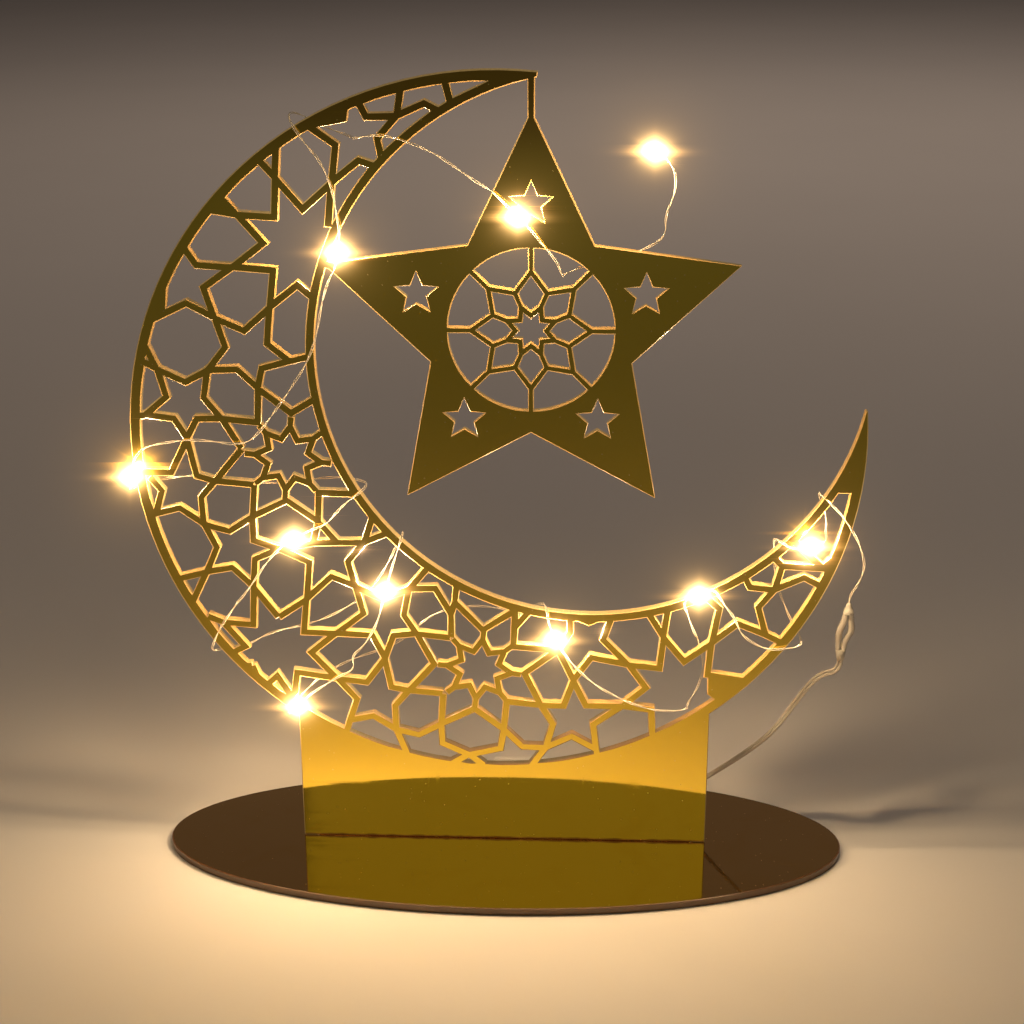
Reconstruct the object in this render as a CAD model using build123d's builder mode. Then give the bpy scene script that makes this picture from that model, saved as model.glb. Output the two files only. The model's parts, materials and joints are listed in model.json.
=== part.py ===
from build123d import *
import math
import os

os.makedirs("parts", exist_ok=True)

# All lengths are millimetres. Z is up, X runs along the ornament and the light string is in front, at -Y.
# The origin is the centre of the base's underside. Names that end in share or shares are parts of
# crescent_radius, measured from the crescent's centre.

# Mirror acrylic sheet
sheet_thickness = 2.0
crescent_radius = 95.0
crescent_centre_x = -1.45
foot_height = 20.5
opening_radius = 70.6
opening_angle = 44.17
horn_gap = 113.86
right_horn_blunt = 1.85
rim_width = 2.85
opening_rim_width = 2.45
lattice_bar_width = 2.0
foot_width = 111.9
foot_overlap = 1.0
tab_width = 104.0

# Star, its neck and its ring
star_from_horn_tip = 5.93
horn_past_star = 1.55
star_below_horn = 7.34
star_radius = 54.8
star_notch_radius = 26.9
neck_width = 1.8
neck_overlap = 1.0
star_web_length = 5.0
star_web_width = 2.0
star_web_angle = 162
small_star_radius = 5.7
small_star_notch_radius = 2.5
small_star_top_radius = 32.0
small_star_side_radius = 30.2
small_star_low_radius = 29.0
ring_hole_radius = 21.0
ring_ornament_radius = 15.2
ring_ornament_notch_radius = 10.4
ring_rosette_radius = 6.6
ring_rosette_notch_radius = 3.9
ring_bar_width = 1.5

rosette_bar_width = 1.9

# Oval base
base_length = 186.8
base_depth = 72.9
base_thickness = 2.0
slot_clearance = 0.05

# Light string
wire_diameter = 0.7
wire_clearance = 0.3
bead_diameter = 3.2
bead_length = 5.0
bead_lead_out = 2.0
chip_length = 1.6
chip_width = 0.8
chip_height = 0.7

# Lead and its two sleeves
lead_diameter = 1.8
core_diameter = 1.0
core_spacing = 1.5
sleeve_wall = 0.15
sleeve_length = 3.0
sleeve_lead_out = 2.2
lead_lead_out = 3.4

# Battery box behind the foot
case_wall = 1.2
case_side_wall = 1.8
case_left_x = -4.0
case_gap = 4.0
cell_bay_margin = 5.0
cover_lap = 0.4
cover_thickness = 1.4
cover_bevel = 0.8
cover_clearance = 0.15
cover_grip_width = 12.0
cover_grip_depth = 0.4
cover_grip_length = 1.0
cover_grip_pitch = 2.4
cell_diameter = 20.0
cell_height = 3.2
cell_can_step = 0.4
cell_cap_rim = 1.3
cell_clearance = 0.4
cell_headroom = 0.3
contact_thickness = 0.3
contact_width = 8.0
contact_length = 14.0
side_contact_width = 6.0
side_contact_height = 5.6
partition_thickness = 1.2
switch_bay_margin = 4.0
switch_body_length = 8.6
switch_body_width = 4.2
switch_body_height = 3.6
switch_slot_depth = 1.6
knob_length = 2.2
knob_width = 1.6
knob_rise = 1.4
knob_clearance = 0.2
switch_travel = 2.0
relief_wall = 0.9
relief_length = 3.0

# Lattice joints, as shares of the crescent's radius
joint_shares = {
    "a1": (-.126, .975), "a2": (-.110, .910), "a3": (-.140, .895), "a4": (-.178, .914), "a5": (-.249, .882),
    "a6": (-.236, .955), "a7": (-.300, .825), "a8": (-.290, .770), "a9": (-.327, .880), "a10": (-.350, .925),
    "a11": (-.376, .925), "a12": (-.386, .875), "a13": (-.480, .858), "a14": (-.408, .808), "a15": (-.422, .711),
    "a16": (-.350, .769), "a17": (-.300, .752), "a18": (-.436, .595), "a19": (-.500, .642), "a20": (-.568, .723),
    "a21": (-.560, .820), "a22": (-.615, .777), "a23": (-.575, .621), "a24": (-.673, .627), "a25": (-.720, .680),
    "a26": (-.765, .642), "a27": (-.608, .552), "a28": (-.693, .488), "a29": (-.788, .493), "a30": (-.825, .550),
    "a31": (-.585, .480), "a32": (-.599, .380), "a33": (-.523, .441), "a34": (-.485, .408), "a35": (-.773, .432),
    "a36": (-.748, .350), "a37": (-.822, .390), "a38": (-.915, .345), "a39": (-.671, .316), "a40": (-.611, .280),
    "a41": (-.552, .233), "a42": (-.498, .247), "a43": (-.724, .270), "a44": (-.776, .206), "a45": (-.838, .172),
    "a46": (-.913, .208), "a47": (-.955, .232), "a48": (-.948, .290), "a49": (-.893, .130), "a50": (-.955, .078),
    "a51": (-.985, .072), "a52": (-.876, .069), "a53": (-.844, .012), "a54": (-.814, .069), "a55": (-.746, .070),
    "a56": (-.791, .128), "a57": (-.648, .061), "a58": (-.642, .156), "a59": (-.696, .209), "a60": (-.629, .212),
    "a61": (-.555, .088), "a62": (-.490, .128), "a63": (-.696, -.016),
    "b1": (-.774, -.110), "b2": (-.824, -.095), "b3": (-.894, -.086), "b4": (-.990, -.086), "b5": (-.816, -.158),
    "b6": (-.813, -.237), "b7": (-.878, -.190), "b8": (-.945, -.208), "b9": (-.985, -.225), "b10": (-.924, -.140),
    "b11": (-.955, -.100), "b12": (-.743, -.257), "b13": (-.676, -.213), "b14": (-.666, -.119), "b15": (-.781, -.306),
    "b16": (-.814, -.380), "b17": (-.905, -.405), "b18": (-.858, -.470), "b19": (-.741, -.366), "b20": (-.684, -.424),
    "b21": (-.676, -.340), "b22": (-.606, -.308), "b23": (-.677, -.284), "b24": (-.579, -.164), "b25": (-.494, -.226),
    "b26": (-.489, -.141), "b27": (-.390, -.143), "b28": (-.443, -.287), "b29": (-.511, -.290), "b30": (-.369, -.286),
    "b31": (-.345, -.215), "b32": (-.305, -.258), "b33": (-.416, -.344), "b34": (-.397, -.418), "b35": (-.464, -.389),
    "b36": (-.536, -.459), "b37": (-.524, -.347), "b38": (-.618, -.516), "b39": (-.691, -.540), "b40": (-.778, -.533),
    "b41": (-.820, -.515), "b42": (-.718, -.608), "b43": (-.760, -.630), "b44": (-.548, -.560), "b45": (-.457, -.563),
    "b46": (-.377, -.500), "b47": (-.354, -.567), "b48": (-.530, -.624), "b49": (-.458, -.704), "b50": (-.573, -.687),
    "b51": (-.585, -.775), "b52": (-.630, -.699), "b53": (-.680, -.745), "b54": (-.323, -.455), "b55": (-.700, -.667),
    "b56": (-.728, -.668), "b57": (-.685, -.705),
    "c1": (-.247, -.424), "c2": (-.185, -.350), "c3": (-.263, -.504), "c4": (-.228, -.560), "c5": (-.294, -.567),
    "c6": (-.320, -.639), "c7": (-.374, -.714), "c8": (-.404, -.768), "c9": (-.427, -.836), "c10": (-.445, -.900),
    "c11": (-.358, -.821), "c12": (-.293, -.863), "c13": (-.260, -.950), "c14": (-.304, -.728), "c15": (-.254, -.738),
    "c16": (-.295, -.787), "c17": (-.181, -.654), "c18": (-.228, -.879), "c19": (-.163, -.843), "c20": (-.160, -.905),
    "c21": (-.084, -.940), "c22": (-.040, -.975), "c23": (-.135, -.970), "c24": (.007, -.919), "c25": (.017, -.857),
    "c26": (-.066, -.793), "c27": (.071, -.912), "c28": (.137, -.914), "c29": (.095, -.975), "c30": (.158, -.838),
    "c31": (.212, -.876), "c32": (.283, -.917), "c33": (.290, -.960), "c34": (.123, -.778), "c35": (.188, -.779),
    "c36": (.215, -.698), "c37": (.252, -.777), "c38": (.265, -.626), "c39": (.077, -.678), "c40": (.172, -.604),
    "c41": (-.173, -.421), "c42": (-.119, -.462), "c43": (-.113, -.400), "c44": (-.131, -.572), "c45": (-.041, -.546),
    "c46": (.050, -.485), "c47": (.046, -.596), "c48": (.051, -.535), "c49": (.092, -.485), "c50": (-.156, -.746),
    "c51": (.025, -.768), "c52": (-.130, -.500),
    "d1": (.205, -.550), "d2": (.205, -.495), "d3": (.258, -.518), "d4": (.305, -.495), "d5": (.298, -.571),
    "d6": (.325, -.490), "d7": (.371, -.647), "d8": (.458, -.656), "d9": (.421, -.718), "d10": (.355, -.777),
    "d11": (.438, -.787), "d12": (.445, -.900), "d13": (.273, -.837), "d14": (.467, -.560), "d15": (.478, -.470),
    "d16": (.425, -.490), "d17": (.527, -.634), "d18": (.602, -.576), "d19": (.594, -.674), "d20": (.700, -.690),
    "d21": (.620, -.470), "d22": (.580, -.435), "d23": (.673, -.515), "d24": (.752, -.548), "d25": (.800, -.572),
    "d26": (.728, -.465), "d27": (.770, -.411), "d28": (.702, -.404), "d29": (.680, -.360), "d30": (.788, -.340),
    "d31": (.760, -.310), "d32": (.850, -.373), "d33": (.910, -.405), "d34": (.900, -.345), "d35": (.805, -.255),
    "d36": (.955, -.290),
}

# Lattice bars, each chain a run of joints
lattice_chains = """
a1 a2|a3 a4 a5 a9 a10|a6 a5 a7 a8|a11 a12 a13|a13 a14 a15 a18|a15 a16 a17|a15 a19 a20 a22|a21 a20 a23 a24 a26
a25 a24 a27 a28 a35 a36 a43 a44 a45 a46 a48|a28 a29 a30|a28 a31 a32 a40 a41 a42|a36 a37 a38|a36 a39 a32 a33 a34
a47 a46 a49 a50 a51|a50 a52 a53 a54 a55 a56 a44 a59 a58 a57 a55 a63|a41 a60 a58 a61 a62
a53 b3 b4|a53 b2 b1 b14|a63 b1 b5 b6 b12 b13 b14|b6 b7 b8 b9|b8 b10 b11|b6 b15 b16 b18|b17 b16 b19 b20 b38
b20 b21 b22 b37 b36 b38|b13 b23 b22|b13 b24 b25 b28 b30 b31|b25 b26 b27|b25 b29 b28|b22 b29|b30 b32|b30 b33 b34
b34 b35 b36 b44 b45 b47 c6|b34 b46 b45 b48 b49|b20 b39 b40 b41|b40 b42 b43|b51 b50 b49 c8 c9 c10|b49 c7 c6
b53 b52 b51|b55 b56|b55 b57|b34 b54 c1|c2 c1 c3 c4|c1 c41 c52|c43 c42 c52 c44|c44 c4 c5 c6 c14 c15 c50
c4 c17 c15 c16 c12 c18 c19 c20 c21 c22|c9 c11 c12 c13|c50 c19 c26 c25 c24 c21 c23|c42 c45 c46|c46 c47 c40|c48 c49
c25 c27 c28 c30 c34 c39 c40 c36 c35 c34 c51 c25|c29 c28 c31 c32 c33|c36 c38 d7 d8 d14 d15|c36 c37 d10 d9 d7 d5 d6
c40 d1 d2|d2 d3 d4|d10 d11 d12|d10 d13 c32|d16 d14 d17 d18 d23 d24 d25|d18 d21 d22|d18 d19 d20
d24 d26 d27 d28 d29|d27 d30 d31|d27 d32 d33|d30 d34 d36|d34 d35
"""

# Solid patches of the lattice: the right horn's end, and corners where bars run together at the rim
solid_patch_shares = [
    [(.890, -.125), (.993, -.125), (.998, -.030), (.953, -.025)],
    [(.594, -.674), (.595, -.735), (.640, -.770), (.700, -.690)],
    [(-.673, .627), (-.720, .680), (-.765, .642)],
    [(-.870, .429), (-.900, .425), (-.925, .355), (-.878, .369)],
    [(-.412, .877), (-.410, .893), (-.387, .898), (-.386, .881)],
]

# Rosettes: centres, reach of the tips, notches and spokes as shares, and the direction of one tip
rosette_centre_shares = [(-.570, -.042), (-.052, -.668)]
rosette_tip_angle = 83.4
rosette_tip_share = .0926
rosette_notch_share = .058
rosette_spoke_share = .120

# The opening's circle that the joints were read against, as shares
pattern_opening_radius_share = .7432
pattern_opening_offset_shares = (.2589, .2516)

# Light beads: place, and direction of the string there in degrees. One bead is level with the sheet, the
# others are in front of it.
bead_place_shares = {
    "01": (.410, .795), "02": (.060, .630), "03": (-.410, .535), "04": (-1.000, -.090), "05": (-.560, -.270),
    "06": (-.310, -.420), "07": (-.570, -.780), "08": (.165, -.560), "09": (.560, -.420), "10": (.860, -.270),
}
bead_angles = {
    "01": -35, "02": -45, "03": 80, "04": 80, "05": 32, "06": 75, "07": 45, "08": -65, "09": 25, "10": 18,
}
level_bead = "01"

# Wire routes between beads, with the end of each bead that they leave from and arrive at: shares across and
# up, and lane, where -1 runs on the front of the sheet, +1 on its back, and other values lie that many lane
# offsets away.
wire_route_shares = {
    "feed": ("splice", +1, "10", +1, [
        (1.005, -.400, .9), (1.013, -.365, .5), (1.015, -.330, 0), (1.000, -.285, -.6), (.985, -.250, -1),
        (.960, -.210, -1), (.925, -.165, -1), (.882, -.128, -1), (.876, -.126, 1), (.905, -.200, 1), (.905, -.255, 1)]),
    "10_09": ("10", -1, "09", +1, [
        (.768, -.254, -1.4), (.762, -.266, 1), (.775, -.400, 1), (.820, -.510, 1), (.853, -.562, 1),
        (.853, -.578, -1), (.800, -.588, -1), (.760, -.590, -1), (.716, -.571, -1), (.680, -.540, -1),
        (.665, -.496, -1), (.625, -.445, -1)]),
    "09_08": ("09", -1, "08", +1, [
        (.530, -.485, -1), (.560, -.560, -1), (.560, -.560, 1), (.585, -.640, 1), (.575, -.720, 1), (.540, -.780, 1),
        (.540, -.780, -1), (.490, -.788, -1), (.430, -.782, -1), (.370, -.760, -1), (.330, -.740, -1),
        (.280, -.710, -1), (.235, -.670, -1)]),
    "08_07": ("08", -1, "07", -1, [
        (.138, -.468, -1.2), (.128, -.468, 1), (.060, -.500, 1), (-.060, -.480, 1), (-.150, -.495, 1),
        (-.210, -.530, 1), (-.270, -.592, 1), (-.335, -.625, 1), (-.410, -.650, 1), (-.500, -.700, 1),
        (-.560, -.760, 1), (-.605, -.815, 1)]),
    "07_06": ("07", +1, "06", -1, [
        (-.500, -.725, -1), (-.455, -.695, -1), (-.405, -.670, -1), (-.415, -.630, -1), (-.380, -.600, -1),
        (-.350, -.550, -1), (-.333, -.510, -1)]),
    "06_05": ("06", +1, "05", -1, [
        (-.285, -.335, -1), (-.260, -.257, -1), (-.260, -.257, 1), (-.312, -.370, 1), (-.370, -.455, 1),
        (-.460, -.515, 1), (-.540, -.548, 1), (-.600, -.560, 1), (-.660, -.580, 1), (-.720, -.618, 1),
        (-.805, -.632, 1), (-.817, -.619, -1), (-.790, -.555, -1), (-.740, -.480, -1), (-.695, -.425, -1),
        (-.650, -.355, -1)]),
    "05_04": ("05", +1, "04", -1, [
        (-.470, -.232, -1), (-.427, -.176, -1), (-.357, -.122, -1), (-.358, -.114, 1), (-.460, -.100, 1),
        (-.600, -.130, 1), (-.750, -.105, 1), (-.880, -.104, 1), (-1.0082, -.1367, 1)]),
    "04_03": ("04", +1, "03", -1, [
        (-.965, -.012, -1), (-.910, .002, -1), (-.840, .012, -1), (-.770, .008, -1), (-.700, -.003, -1),
        (-.655, .020, -1), (-.607, .082, -1), (-.543, .172, -1), (-.500, .240, -1), (-.475, .310, -1),
        (-.460, .390, -1), (-.440, .455, -1)]),
    "03_02": ("03", +1, "02", -1, [
        (-.412, .640, -1), (-.420, .700, -1), (-.449, .772, -1), (-.490, .817, -1), (-.530, .882, -1),
        (-.516, .892, 1), (-.440, .850, 1), (-.365, .825, 1), (-.365, .825, -1), (-.300, .838, -1),
        (-.240, .825, -1), (-.150, .790, -1), (-.060, .725, -1), (-.010, .698, -1.3)]),
    "02_01": ("02", +1, "01", +1, [
        (.120, .560, -1), (.161, .512, -1), (.178, .468, -1), (.178, .468, 1), (.250, .500, 1), (.330, .518, 1),
        (.400, .540, 1), (.446, .575, .4), (.440, .625, 0), (.465, .685, 0), (.466, .735, 0)]),
}
splice_place_shares = (.9825, -.460, 1.2)
split_place_shares = (.969, -.6050, 1.6)
core_route_shares = {
    "left": (-1, [(.961, -.548, 1.5)]),
    "right": (+1, [(.997, -.545, 1.5)]),
}
lead_route_shares = [(.589, -1.110, 9.1), (.6625, -1.038, 7.3), (.735, -.970, 6.1), (.8025, -.892, 4.8),
                     (.867, -.768, 3.6), (.915, -.692, 2.6)]

# Derived values
sheet_half = sheet_thickness / 2
base_top = base_thickness
crescent_centre_height = base_top + foot_height + crescent_radius
lane_offset = sheet_half + wire_clearance + wire_diameter / 2
bead_offset = sheet_half + wire_clearance + bead_diameter / 2
horn_line = math.sqrt(crescent_radius ** 2 - horn_gap ** 2 / 4)
opening_offset = horn_line - math.sqrt(opening_radius ** 2 - horn_gap ** 2 / 4)
opening_side = math.cos(math.radians(opening_angle))
opening_rise = math.sin(math.radians(opening_angle))
opening_x = crescent_centre_x + opening_offset * opening_side
opening_height = crescent_centre_height + opening_offset * opening_rise
horn_tip_x = crescent_centre_x + horn_line * opening_side - horn_gap / 2 * opening_rise
horn_half_angle = math.degrees(math.acos(horn_line / crescent_radius))
star_centre_x = horn_tip_x - star_from_horn_tip
horn_underside = opening_height + math.sqrt(opening_radius ** 2 - (star_centre_x - opening_x) ** 2)
star_centre_height = horn_underside - star_below_horn - star_radius


def on_panel(share_x, share_z):
    """X and Z of a place given in shares of the crescent's radius."""
    return crescent_centre_x + crescent_radius * share_x, crescent_centre_height + crescent_radius * share_z


def reach_to_circle(start, toward, centre, radius):
    """Distance from a point inside a circle to its edge."""
    across = start[0] - centre[0]
    up = start[1] - centre[1]
    nearing = across * toward[0] + up * toward[1]
    return math.sqrt(nearing ** 2 + radius ** 2 - across ** 2 - up ** 2) - nearing


def on_lattice(share_x, share_z):
    """X and Z of a lattice joint, kept at its part of the way from the opening's edge to the crescent's edge."""
    pattern_x, pattern_z = pattern_opening_offset_shares
    distance = math.hypot(share_x - pattern_x, share_z - pattern_z)
    toward = ((share_x - pattern_x) / distance, (share_z - pattern_z) / distance)
    pattern_band = reach_to_circle((pattern_x, pattern_z), toward, (0, 0), 1) - pattern_opening_radius_share
    part_way = (distance - pattern_opening_radius_share) / pattern_band
    centre = (crescent_centre_x, crescent_centre_height)
    band = reach_to_circle((opening_x, opening_height), toward, centre, crescent_radius) - opening_radius
    reach = opening_radius + part_way * band
    return opening_x + reach * toward[0], opening_height + reach * toward[1]


def in_space(place):
    """Point of a route: shares across and up, and lane."""
    x, z = on_panel(place[0], place[1])
    return Vector(x, place[2] * lane_offset, z)


def star_outline(centre, radius, notch_radius, count, start_angle):
    """Corners of a star, tips and notches in turn."""
    corners = []
    for index in range(2 * count):
        reach = radius if index % 2 == 0 else notch_radius
        angle = math.radians(start_angle + index * 180 / count)
        corners.append((centre[0] + reach * math.cos(angle), centre[1] + reach * math.sin(angle)))
    return corners


def bar_corners(points, width):
    """Four corners of each straight bar of a chain, mitred where two bars meet."""
    half = width / 2
    normals = []
    for start, end in zip(points, points[1:]):
        run = math.hypot(end[0] - start[0], end[1] - start[1])
        normals.append(((start[1] - end[1]) / run, (end[0] - start[0]) / run))
    offsets = [normals[0]]
    for before, after in zip(normals, normals[1:]):
        scale = 1 + before[0] * after[0] + before[1] * after[1]
        offsets.append(((before[0] + after[0]) / scale, (before[1] + after[1]) / scale))
    offsets.append(normals[-1])
    bars = []
    for index in range(len(points) - 1):
        start, end = points[index], points[index + 1]
        first, last = offsets[index], offsets[index + 1]
        bars.append([
            (start[0] + half * first[0], start[1] + half * first[1]),
            (end[0] + half * last[0], end[1] + half * last[1]),
            (end[0] - half * last[0], end[1] - half * last[1]),
            (start[0] - half * first[0], start[1] - half * first[1]),
        ])
    return bars


def star_bars(corners, width):
    """Bars along the closed outline of a star."""
    return bar_corners(corners + corners[:2], width)


def spoke_bars(inner_ends, outer_ends, width):
    """Straight bars from each inner end to its outer end."""
    bars = []
    for inner, outer in zip(inner_ends, outer_ends):
        bars += bar_corners([inner, outer], width)
    return bars


def bend_radii(points):
    """Radius at each corner of a cord's route."""
    radii = []
    for before, corner, after in zip(points, points[1:], points[2:]):
        turn = math.radians((corner - before).get_angle(after - corner))
        shorter = min((corner - before).length, (after - corner).length)
        radii.append(0.45 * shorter / math.tan(max(turn, 0.05) / 2))
    return radii


def cord_tube(points, diameter):
    """Tube with straight runs joined by tangent arcs."""
    radii = bend_radii(points)
    with BuildPart() as tube:
        with BuildLine():
            path = FilletPolyline(*points, radius=radii)
        with BuildSketch(path ^ 0):
            Circle(diameter / 2)
        sweep()
    return tube, path.length, radii


def finish(solid, name):
    """Name a piece and write it."""
    solid.label = name
    export_step(solid, "parts/" + name + ".step")


# Lattice cells: the space between the two rims, less the bars
bars = []
for chain in lattice_chains.replace("\n", "|").split("|"):
    joints = chain.split()
    if joints:
        bars += bar_corners([on_lattice(*joint_shares[joint]) for joint in joints], lattice_bar_width)
for centre_shares in rosette_centre_shares:
    outline = star_outline(centre_shares, rosette_tip_share, rosette_notch_share, 8, rosette_tip_angle)
    spokes = star_outline(centre_shares, rosette_spoke_share, rosette_spoke_share, 8, rosette_tip_angle)
    outline = [on_lattice(*place) for place in outline]
    spokes = [on_lattice(*place) for place in spokes]
    bars += star_bars(outline, rosette_bar_width)
    bars += spoke_bars(outline[::2], spokes[::2], rosette_bar_width)
for corners in solid_patch_shares:
    bars.append([on_lattice(*corner) for corner in corners])

with BuildSketch(Plane.XZ) as lattice_cells:
    with Locations((crescent_centre_x, crescent_centre_height)):
        Circle(crescent_radius - rim_width)
    with Locations((opening_x, opening_height)):
        Circle(opening_radius + opening_rim_width, mode=Mode.SUBTRACT)
    bar_faces = [Polygon(*corners, align=None, mode=Mode.PRIVATE) for corners in bars]
    add(bar_faces, mode=Mode.SUBTRACT)
print("lattice cells", len(lattice_cells.sketch.faces()))

# Ornament sheet: crescent, star, ring ornament, neck, foot and tab are one cut sheet
ring_centre = (star_centre_x, star_centre_height)
small_star_places = [
    (small_star_top_radius, 90), (small_star_side_radius, 18), (small_star_side_radius, 162),
    (small_star_low_radius, 234), (small_star_low_radius, 306),
]
ring_reach = ring_hole_radius + neck_overlap
ring_outline = star_outline((0, 0), ring_ornament_radius, ring_ornament_notch_radius, 8, 0)
ring_edge = star_outline((0, 0), ring_reach, ring_reach, 8, 0)
rosette_outline = star_outline((0, 0), ring_rosette_radius, ring_rosette_notch_radius, 8, 22.5)
ring_bars = star_bars(ring_outline, ring_bar_width) + star_bars(rosette_outline, ring_bar_width)
ring_bars += spoke_bars(ring_outline[::2], ring_edge[::2], ring_bar_width)
ring_bars += spoke_bars(rosette_outline[::2], ring_outline[1::2], ring_bar_width)
horn_reach = crescent_radius ** 2 - (star_centre_x - crescent_centre_x) ** 2
neck_top = crescent_centre_height + math.sqrt(horn_reach) - neck_overlap
neck_bottom = star_centre_height + star_radius * (1 - neck_width / star_notch_radius)
foot_side = foot_width / 2 + abs(crescent_centre_x)
foot_top = crescent_centre_height - math.sqrt(crescent_radius ** 2 - foot_side ** 2) + foot_overlap
web_toward = (math.cos(math.radians(star_web_angle)), math.sin(math.radians(star_web_angle)))
web_end = reach_to_circle(ring_centre, web_toward, (opening_x, opening_height), opening_radius)
web_end += opening_rim_width / 2
web_middle = (star_radius - star_web_length + web_end) / 2
web_run = abs(web_end - star_radius + star_web_length)

# Blunt ends of the horns: the direction of each tip from the crescent's centre, and how much is cut off there
horn_ends = [(opening_angle + horn_half_angle, star_from_horn_tip - horn_past_star),
             (opening_angle - horn_half_angle, right_horn_blunt)]

with BuildPart() as ornament_panel:
    with BuildSketch(Plane.XZ):
        with Locations((crescent_centre_x, crescent_centre_height)):
            Circle(crescent_radius)
        with Locations((opening_x, opening_height)):
            Circle(opening_radius, mode=Mode.SUBTRACT)
        for tip_angle, blunt in horn_ends:
            tip_toward = (math.cos(math.radians(tip_angle)), math.sin(math.radians(tip_angle)))
            with Locations(on_panel(*tip_toward)):
                Rectangle(2 * rim_width, 2 * blunt, rotation=tip_angle, mode=Mode.SUBTRACT)
        with Locations((0, (base_top + foot_top) / 2)):
            Rectangle(foot_width, foot_top - base_top)
        with Locations((0, base_top / 2)):
            Rectangle(tab_width, base_top)
        add(lattice_cells.sketch, mode=Mode.SUBTRACT)
        Polygon(*star_outline(ring_centre, star_radius, star_notch_radius, 5, 90), align=None)
        with Locations((star_centre_x, (neck_bottom + neck_top) / 2)):
            Rectangle(neck_width, neck_top - neck_bottom)
        with Locations((star_centre_x + web_middle * web_toward[0], star_centre_height + web_middle * web_toward[1])):
            Rectangle(web_run, star_web_width, rotation=star_web_angle)
        with Locations(ring_centre):
            ring = Circle(ring_hole_radius, mode=Mode.PRIVATE)
            ring_parts = [Polygon(*corners, align=None, mode=Mode.PRIVATE) for corners in ring_bars]
        add(ring - ring_parts, mode=Mode.SUBTRACT)
        for reach, turn in small_star_places:
            across, up = reach * math.cos(math.radians(turn)), reach * math.sin(math.radians(turn))
            middle = (ring_centre[0] + across, ring_centre[1] + up)
            Polygon(*star_outline(middle, small_star_radius, small_star_notch_radius, 5, 90),
                    align=None, mode=Mode.SUBTRACT)
    extrude(amount=sheet_half, both=True)
finish(ornament_panel.part, "ornament_panel")
print("ornament_panel solids", len(ornament_panel.part.solids()), "volume", round(ornament_panel.part.volume, 1))

# Oval base with the slot that takes the tab
with BuildPart() as base_plate:
    with BuildSketch():
        Ellipse(base_length / 2, base_depth / 2)
        Rectangle(tab_width + 2 * slot_clearance, sheet_thickness + 2 * slot_clearance, mode=Mode.SUBTRACT)
    extrude(amount=base_thickness)
finish(base_plate.part, "base_plate")

# Light beads: a clear drop over a chip, with a flat end for each run of wire
bead_ends = {}
for number, place in bead_place_shares.items():
    x, z = on_panel(*place)
    centre = Vector(x, 0 if number == level_bead else -bead_offset, z)
    bead_angle = math.radians(bead_angles[number])
    along = Vector(math.cos(bead_angle), 0, math.sin(bead_angle))
    bead_ends[number] = {
        sign: (centre + along * (sign * bead_length / 2), centre + along * (sign * (bead_length / 2 + bead_lead_out)))
        for sign in (-1, 1)
    }
    section = Plane(origin=centre, x_dir=(0, -1, 0), z_dir=Vector(0, -1, 0).cross(along))
    chip_plane = Plane(origin=centre, x_dir=along, z_dir=(0, -1, 0))
    with BuildPart() as led_chip:
        with BuildSketch(chip_plane):
            Rectangle(chip_length, chip_width)
        extrude(amount=chip_height)
    with BuildPart() as led_bead:
        with BuildSketch(section):
            with BuildLine():
                ThreePointArc((wire_diameter / 2, -bead_length / 2), (bead_diameter / 2, 0),
                              (wire_diameter / 2, bead_length / 2))
                Polyline((wire_diameter / 2, bead_length / 2), (0, bead_length / 2), (0, -bead_length / 2),
                         (wire_diameter / 2, -bead_length / 2))
            make_face()
        revolve(axis=Axis(centre, along))
        add(led_chip.part, mode=Mode.SUBTRACT)
    finish(led_chip.part, "led_chip_" + number)
    finish(led_bead.part, "led_bead_" + number)

# Sleeves that join the wire, the two cores and the lead
sleeve_diameter = core_spacing + core_diameter + 2 * sleeve_wall
splice_bottom = in_space(splice_place_shares) - Vector(0, 0, sleeve_length)
split_bottom = in_space(split_place_shares) - Vector(0, 0, sleeve_length)
for name, bottom in (("splice_sleeve", splice_bottom), ("split_sleeve", split_bottom)):
    with BuildPart() as sleeve:
        with BuildSketch(Plane(origin=bottom)):
            Circle(sleeve_diameter / 2)
        extrude(amount=sleeve_length)
    finish(sleeve.part, name)
splice_top = splice_bottom + Vector(0, 0, sleeve_length)
split_top = split_bottom + Vector(0, 0, sleeve_length)
step_up = Vector(0, 0, sleeve_lead_out)

# Wire between the beads
for name, (start_name, leave, end_name, arrive, route) in wire_route_shares.items():
    if start_name == "splice":
        start = [splice_top, splice_top + step_up]
    else:
        start = list(bead_ends[start_name][leave])
    end = list(reversed(bead_ends[end_name][arrive]))
    points = start + [in_space(place) for place in route] + end
    wire, length, radii = cord_tube(points, wire_diameter)
    finish(wire.part, "wire_" + name)
    print("wire", name, "length", round(length, 1), "volume ratio",
          round(wire.part.volume / (length * math.pi * wire_diameter ** 2 / 4), 4),
          "radii", [round(radius, 1) for radius in radii])

# Two cores from sleeve to sleeve
for name, (side, route) in core_route_shares.items():
    shift = Vector(side * core_spacing / 2, 0, 0)
    points = [split_top + shift, split_top + shift + step_up] + [in_space(place) for place in route]
    points += [splice_bottom + shift - step_up, splice_bottom + shift]
    core, length, radii = cord_tube(points, core_diameter)
    finish(core.part, "core_" + name)
    print("core", name, "length", round(length, 1), "radii", [round(radius, 1) for radius in radii])

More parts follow.
